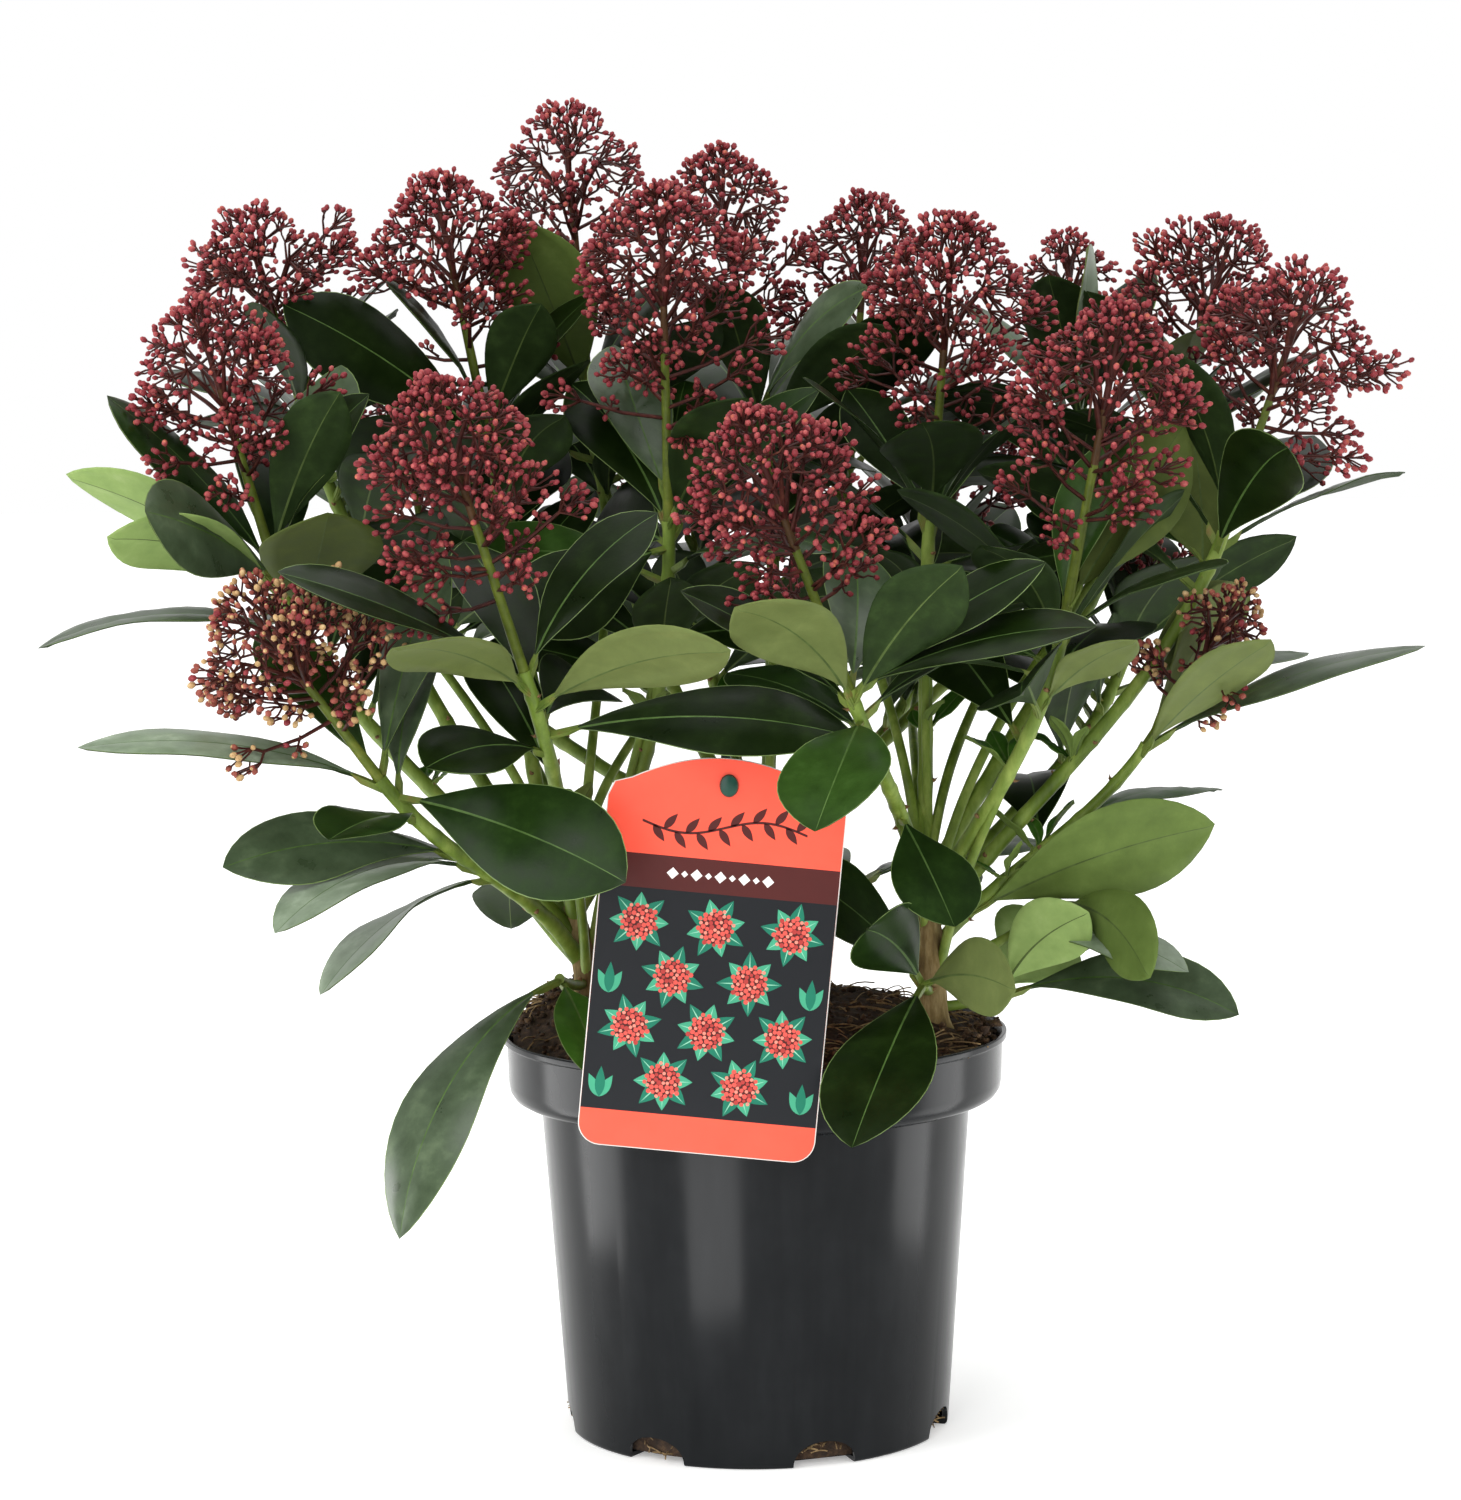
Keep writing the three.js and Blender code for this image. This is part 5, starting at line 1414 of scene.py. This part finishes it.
def on_label(x, z, front):
    """A point of the label: x and z on its face, and how far in front of its back it lies."""
    turn = math.radians(LABEL["turn"])
    across, up = math.cos(turn), math.sin(turn)
    return np.array([x * across + z * up, -front, -x * up + z * across]) + LABEL["hole"]


def add_print(skin, outline, low, high, ink):
    """A flat shape on the label, as a thin layer from one height to another over its back."""
    n = len(outline)
    points = [on_label(x, z, height) for height in (low, high) for x, z in outline]
    ends = [tuple(range(n, 2 * n)), tuple(range(n - 1, -1, -1))]
    skin.add(points, ends + prism_walls(n), ink)


def leaf_shape(x, z, length, width, turn):
    """Outline of a drawn leaf, from its foot."""
    s = np.linspace(0, 1, 9)
    half = width / 2 * np.sin(s**0.8 * math.pi)
    points = list(zip(s * length, half)) + list(zip(s[::-1][1:-1] * length, -half[::-1][1:-1]))
    across, up = math.cos(math.radians(turn)), math.sin(math.radians(turn))
    return [(x + along * across - out * up, z + along * up + out * across) for along, out in points]


def disc(x, z, radius, sides):
    """Outline of a drawn disc, or of a lozenge where it has four sides."""
    return [(x + radius * math.cos(a), z + radius * math.sin(a)) for a in even_turns(sides)]


INKS = dict(coral="#FF5A44", maroon="#4E1A17", night="#12151A", leaf="#12735A", pale_leaf="#41A07C",
            vein="#8CCDAE", berry="#DC564C", pale_berry="#F08A78", dark_berry="#B03A36", white="#F4EEEA",
            card_core="#E9E4DE")
INK = {name: number for number, name in enumerate(INKS)}
INK_HEIGHT = 0.03
BAND = dict(top=-26.5, foot=-38.5)
PANEL_FOOT = -118
LEAFY_TWIG = dict(height=-15, wave=3, reach=29, half_width=0.45, leaf_length=7.2, leaf_width=2.8,
                  leaf_turn=52)
LOZENGES = dict(count=9, pitch=4.2, size=2.1, less=0.9)
BOUQUET = dict(leaves=8, leaf_length=11.6, leaf_width=5.4, berries=52, reach=6.6)
# Rows of bouquets: how far the first is under the band, and from one to the next, and where the
# bouquets of the long and short rows stand.
ROWS = dict(count=4, first=12, pitch=18.6, long=(-27, 0, 27), short=(-13.5, 13.5))
END_SPRIG = dict(place=35.5, drop=7.5, turns=(62, 90, 118), lengths=(9, 11, 9), width=3.6)


def add_bouquet(skin, x, z, base, turn):
    """A printed ring of leaves with pale veins round a close head of berries."""
    for k in range(BOUQUET["leaves"]):
        length = BOUQUET["leaf_length"] * (1 if k % 2 else 0.9)
        way = turn + k * 360 / BOUQUET["leaves"]
        low = base + INK_HEIGHT * (k % 2)
        blade = leaf_shape(x, z, length, BOUQUET["leaf_width"], way)
        add_print(skin, blade, low, low + INK_HEIGHT, INK["leaf" if k % 2 else "pale_leaf"])
        add_print(skin, leaf_shape(x, z, length * 0.94, 0.5, way), low, low + INK_HEIGHT * 1.4, INK["vein"])
    top = base + INK_HEIGHT * 3
    add_print(skin, disc(x, z, BOUQUET["reach"] * 0.86, 16), base, top, INK["maroon"])
    for k in range(BOUQUET["berries"]):
        r = BOUQUET["reach"] * math.sqrt((k + 0.5) / BOUQUET["berries"])
        a = k * math.radians(GOLDEN_ANGLE) + turn
        berry = disc(x + r * math.cos(a), z + r * math.sin(a), 0.66 + 0.12 * (k % 3), 7)
        ink = "dark_berry" if k % 5 == 2 else "pale_berry" if k % 3 == 0 else "berry"
        add_print(skin, berry, top, top + INK_HEIGHT, INK[ink])


def add_card(skin):
    """The card itself, with its hole and a rounded front edge."""
    thick = LABEL["thickness"]
    outline, inset = np.array(rounded_card()), np.array(rounded_card(0.35))
    angles = np.arctan2(outline[:, 1], outline[:, 0])
    hole = np.stack([np.cos(angles), np.sin(angles)], 1) * LABEL["hole_radius"]
    n = len(outline)
    rings = [(outline, 0), (outline, thick * 0.7), (inset, thick), (hole, thick), (hole, 0)]
    points = np.array([[on_label(x, z, front) for x, z in ring] for ring, front in rings])
    last = (len(rings) - 1) * n
    back = [(last + k, last + (k + 1) % n, (k + 1) % n, k) for k in range(n)]
    # edge, rounding, front, wall of the hole and back
    rings_of_faces = ("card_core", "card_core", "coral", "card_core", "coral")
    inks = [INK[name] for name in rings_of_faces for _ in range(n)]
    skin.add(points, grid_faces(len(rings), n) + back, inks)


def make_label():
    """A hanging card with a plain coral field, a dark band and a repeated leaf and berry pattern."""
    skin = Skin()
    add_card(skin)
    thick = LABEL["thickness"]
    half = LABEL["width"] / 2 - 0.38
    top = thick + INK_HEIGHT
    for low, high, ink in ((BAND["foot"], BAND["top"], "maroon"), (PANEL_FOOT, BAND["foot"], "night")):
        add_print(skin, [(-half, low), (half, low), (half, high), (-half, high)], thick, top, INK[ink])

    # a twig with paired leaves in the coral field, and a row of lozenges in the band
    reach, half_width = LEAFY_TWIG["reach"], LEAFY_TWIG["half_width"]
    twig = [(x, LEAFY_TWIG["height"] + LEAFY_TWIG["wave"] * math.sin(x / 9))
            for x in np.linspace(-reach, reach, 31)]
    twig_outline = [(x, z + half_width) for x, z in twig] + [(x, z - half_width) for x, z in twig[::-1]]
    add_print(skin, twig_outline, thick, top, INK["maroon"])
    for k, (x, z) in enumerate(twig[2:-1:2]):
        turn = LEAFY_TWIG["leaf_turn"] * (1 if k % 2 else -1)
        blade = leaf_shape(x, z, LEAFY_TWIG["leaf_length"], LEAFY_TWIG["leaf_width"], turn)
        add_print(skin, blade, thick, top, INK["maroon"])
    for k in range(LOZENGES["count"]):
        x, z = (k - LOZENGES["count"] // 2) * LOZENGES["pitch"], (BAND["top"] + BAND["foot"]) / 2
        lozenge = disc(x, z, LOZENGES["size"] - LOZENGES["less"] * (k % 2), 4)
        add_print(skin, lozenge, top, top + INK_HEIGHT, INK["white"])

    # bouquets in staggered rows, with a sprig of three leaves at each end of the shorter rows
    for row in range(ROWS["count"]):
        z = BAND["foot"] - ROWS["first"] - row * ROWS["pitch"]
        for k, x in enumerate(ROWS["short"] if row % 2 else ROWS["long"]):
            add_bouquet(skin, x, z, top, row * 31 + k * 17)
        for side in (-1, 1) if row % 2 else ():
            for k, (turn, length) in enumerate(zip(END_SPRIG["turns"], END_SPRIG["lengths"])):
                blade = leaf_shape(side * END_SPRIG["place"], z - END_SPRIG["drop"], length,
                                   END_SPRIG["width"], turn)
                ink = INK["leaf" if k % 2 else "pale_leaf"]
                add_print(skin, blade, top, top + INK_HEIGHT * (1 + k % 2), ink)
    finishes = [printed(f"{name}_print", code) for name, code in INKS.items()]
    make_piece("plant_label_card", skin, finishes, "plant_label", 30, "plant_label")


def make_stake():
    """A moulded green stake in the compost, with the peg that the label hangs on."""
    skin = Skin()
    foot, top, hole = (np.array(p, float) for p in (STAKE["foot"], STAKE["top"], LABEL["hole"]))
    line = lerp(foot, top, np.linspace(0, 1, 20)[:, None])
    radii = np.full(20, STAKE["radius"])
    radii[[0, -1]] *= 0.6
    radii[-2] *= 0.95
    add_tube(skin, tube(line, radii, 20), 0)
    behind = lerp(foot, top, (hole[2] - foot[2]) / (top[2] - foot[2]))[1]
    front = hole[1] - LABEL["thickness"] - 0.3
    peg, head, thick = STAKE["peg"], STAKE["head"], STAKE["head_thickness"]
    # depth and radius of each ring, from the stake to the domed front of the head
    rings = [(behind, peg), (front, peg), (front, head * 0.82), (front - 0.5, head * 0.88),
             (front - thick * 0.8, head * 0.8), (front - thick, head * 0.45)]
    around = [(0.82 * math.cos(a), math.sin(a)) for a in even_turns(24)]
    add_tube(skin, np.array([[(hole[0] + across * radius, depth, hole[2] + up * radius)
                              for across, up in around] for depth, radius in rings]), 0)
    green = organic("moulded_green_plastic", ("#0E3A2E", "#13483A", "#1A5846"), 6, 0.32, 0.6, 0.02,
                    gloss=0.3, ior=1.5, stops=(0.35, 0.6, 0.8))
    make_piece("stake_with_peg", skin, [green], "label_stake", 40, "label_stake")


# Stage

# Matt white paper, lit a little from below as on a light table.
def white_paper():
    material, tree, shader, place = new_finish("matt_white_paper")
    tooth = add_node(tree, "ShaderNodeTexNoise", {"Vector": place, "Scale": per_metre(60), "Detail": 3.0})
    colours = add_node(tree, "ShaderNodeValToRGB", {"Fac": tooth.outputs["Fac"]},
                       ramp=[(0.3, "#FAFAF9"), (0.7, "#FDFDFC")])
    set_inputs(tree, shader, {
        "Base Color": colours.outputs["Color"], "Roughness": 0.95, "Specular IOR Level": 0.0,
        "Emission Color": linear("#FFFFFF"), "Emission Strength": 0.3})
    return material


def make_stage():
    """The floor that the pot stands on, which isn't part of the plant."""
    square = [(-1, -1), (1, -1), (1, 1), (-1, 1)]
    corners = [(x * FLOOR_REACH, y * FLOOR_REACH, 0) for x, y in square]
    floor = new_object("studio_floor", corners, [(0, 1, 2, 3)])
    floor.data.materials.append(white_paper())


def add_softbox(name, place, target, width, height, power, mirrored_only=False):
    """A lamp of that size in metres and power in watts, turned to its target."""
    light = bpy.data.lights.new(name, "AREA")
    light.shape, light.size, light.size_y, light.energy = "RECTANGLE", width, height, power
    lamp = bpy.data.objects.new(name, light)
    lamp.location = place
    lamp.rotation_euler = (Vector(target) - Vector(place)).to_track_quat("-Z", "Y").to_euler()
    lamp.visible_camera = False
    lamp.visible_diffuse = lamp.visible_transmission = not mirrored_only
    bpy.context.scene.collection.objects.link(lamp)


def make_lights():
    """A white room, darker behind the camera where it is mirrored, with a window and softboxes."""
    world = bpy.data.worlds.new("white_studio")
    world.use_nodes = True
    tree = world.node_tree
    rays = add_node(tree, "ShaderNodeLightPath").outputs
    ways = add_node(tree, "ShaderNodeTexCoord").outputs["Generated"]
    depth = add_node(tree, "ShaderNodeSeparateXYZ", {"Vector": ways}).outputs["Y"]
    mirrored = add_node(tree, "ShaderNodeMapRange", {
        "Value": depth, "From Min": -0.2, "From Max": 0.7, "To Min": 0.24, "To Max": 0.95})
    strength = add_node(tree, "ShaderNodeMix", {
        "Factor": rays["Is Glossy Ray"], "A": 1.0, "B": mirrored.outputs["Result"]})
    set_inputs(tree, tree.nodes["Background"], {
        "Color": linear("#FFFFFF"), "Strength": strength.outputs["Result"]})
    bpy.context.scene.world = world
    bpy.context.scene.view_settings.view_transform = "Standard"
    middle = (0, 0, 0.28)
    add_softbox("window_softbox", (-0.5, -1.6, 0.5), middle, 0.5, 1.5, 9)
    add_softbox("key_softbox", (-1.2, -0.9, 1.6), middle, 0.8, 0.8, 14)
    add_softbox("top_softbox", (0.3, 0.5, 2.0), middle, 1.6, 1.6, 14)
    # The window again, low before the pot, because the pot's wall mirrors only what stands on the floor.
    for name, place, target, width, height, power in (
            ("pot_stripe_softbox", (-0.056, -0.165, 0.045), (-0.018, -0.08, 0.045), 0.074, 0.09, 0.12),
            ("pot_left_softbox", (-0.24, -0.03, 0.07), (-0.07, 0, 0.07), 0.12, 0.14, 0.34),
            ("pot_right_softbox", (0.24, -0.03, 0.07), (0.07, 0, 0.07), 0.1, 0.14, 0.2)):
        add_softbox(name, place, target, width, height, power, mirrored_only=True)


def make_camera():
    """The camera that took the photo: level turned by its pitch, yaw and roll, in degrees."""
    data = bpy.data.cameras.new("photo_camera")
    data.sensor_width = SENSOR
    data.lens = CAMERA["focal_px"] * SENSOR / PHOTO_LONG_SIDE_PX
    data.clip_end = 50
    pitch, yaw, roll = (math.radians(CAMERA[key]) for key in ("pitch", "yaw", "roll"))
    ahead = Vector((-math.sin(yaw) * math.cos(pitch), math.cos(yaw) * math.cos(pitch), math.sin(pitch)))
    right = ahead.cross(Vector((0, 0, 1))).normalized()
    up = right.cross(ahead)
    rolled_right = right * math.cos(roll) - up * math.sin(roll)
    rolled_up = right * math.sin(roll) + up * math.cos(roll)
    camera = bpy.data.objects.new("photo_camera", data)
    place = Matrix.Translation((0, -CAMERA["distance"] * MM, CAMERA["height"] * MM))
    camera.matrix_world = place @ Matrix((rolled_right, rolled_up, -ahead)).transposed().to_4x4()
    bpy.context.scene.collection.objects.link(camera)
    bpy.context.scene.camera = camera


shoot_paths = [shoot_path(shoot) for shoot in SHOOTS]
sprig_paths = [sprig_path(sprig) for sprig in SPRIGS]
make_woody_stems()
make_boughs(SHOOTS + SPRIGS, shoot_paths + sprig_paths)
make_flower_stalks(shoot_paths)
leaf_tree = make_foliage(SHOOTS, SPRIGS, shoot_paths, sprig_paths)
make_blossom(SHOOTS, shoot_paths, leaf_tree)
make_pot()
make_compost()
make_label()
make_stake()
make_stage()
make_lights()
make_camera()
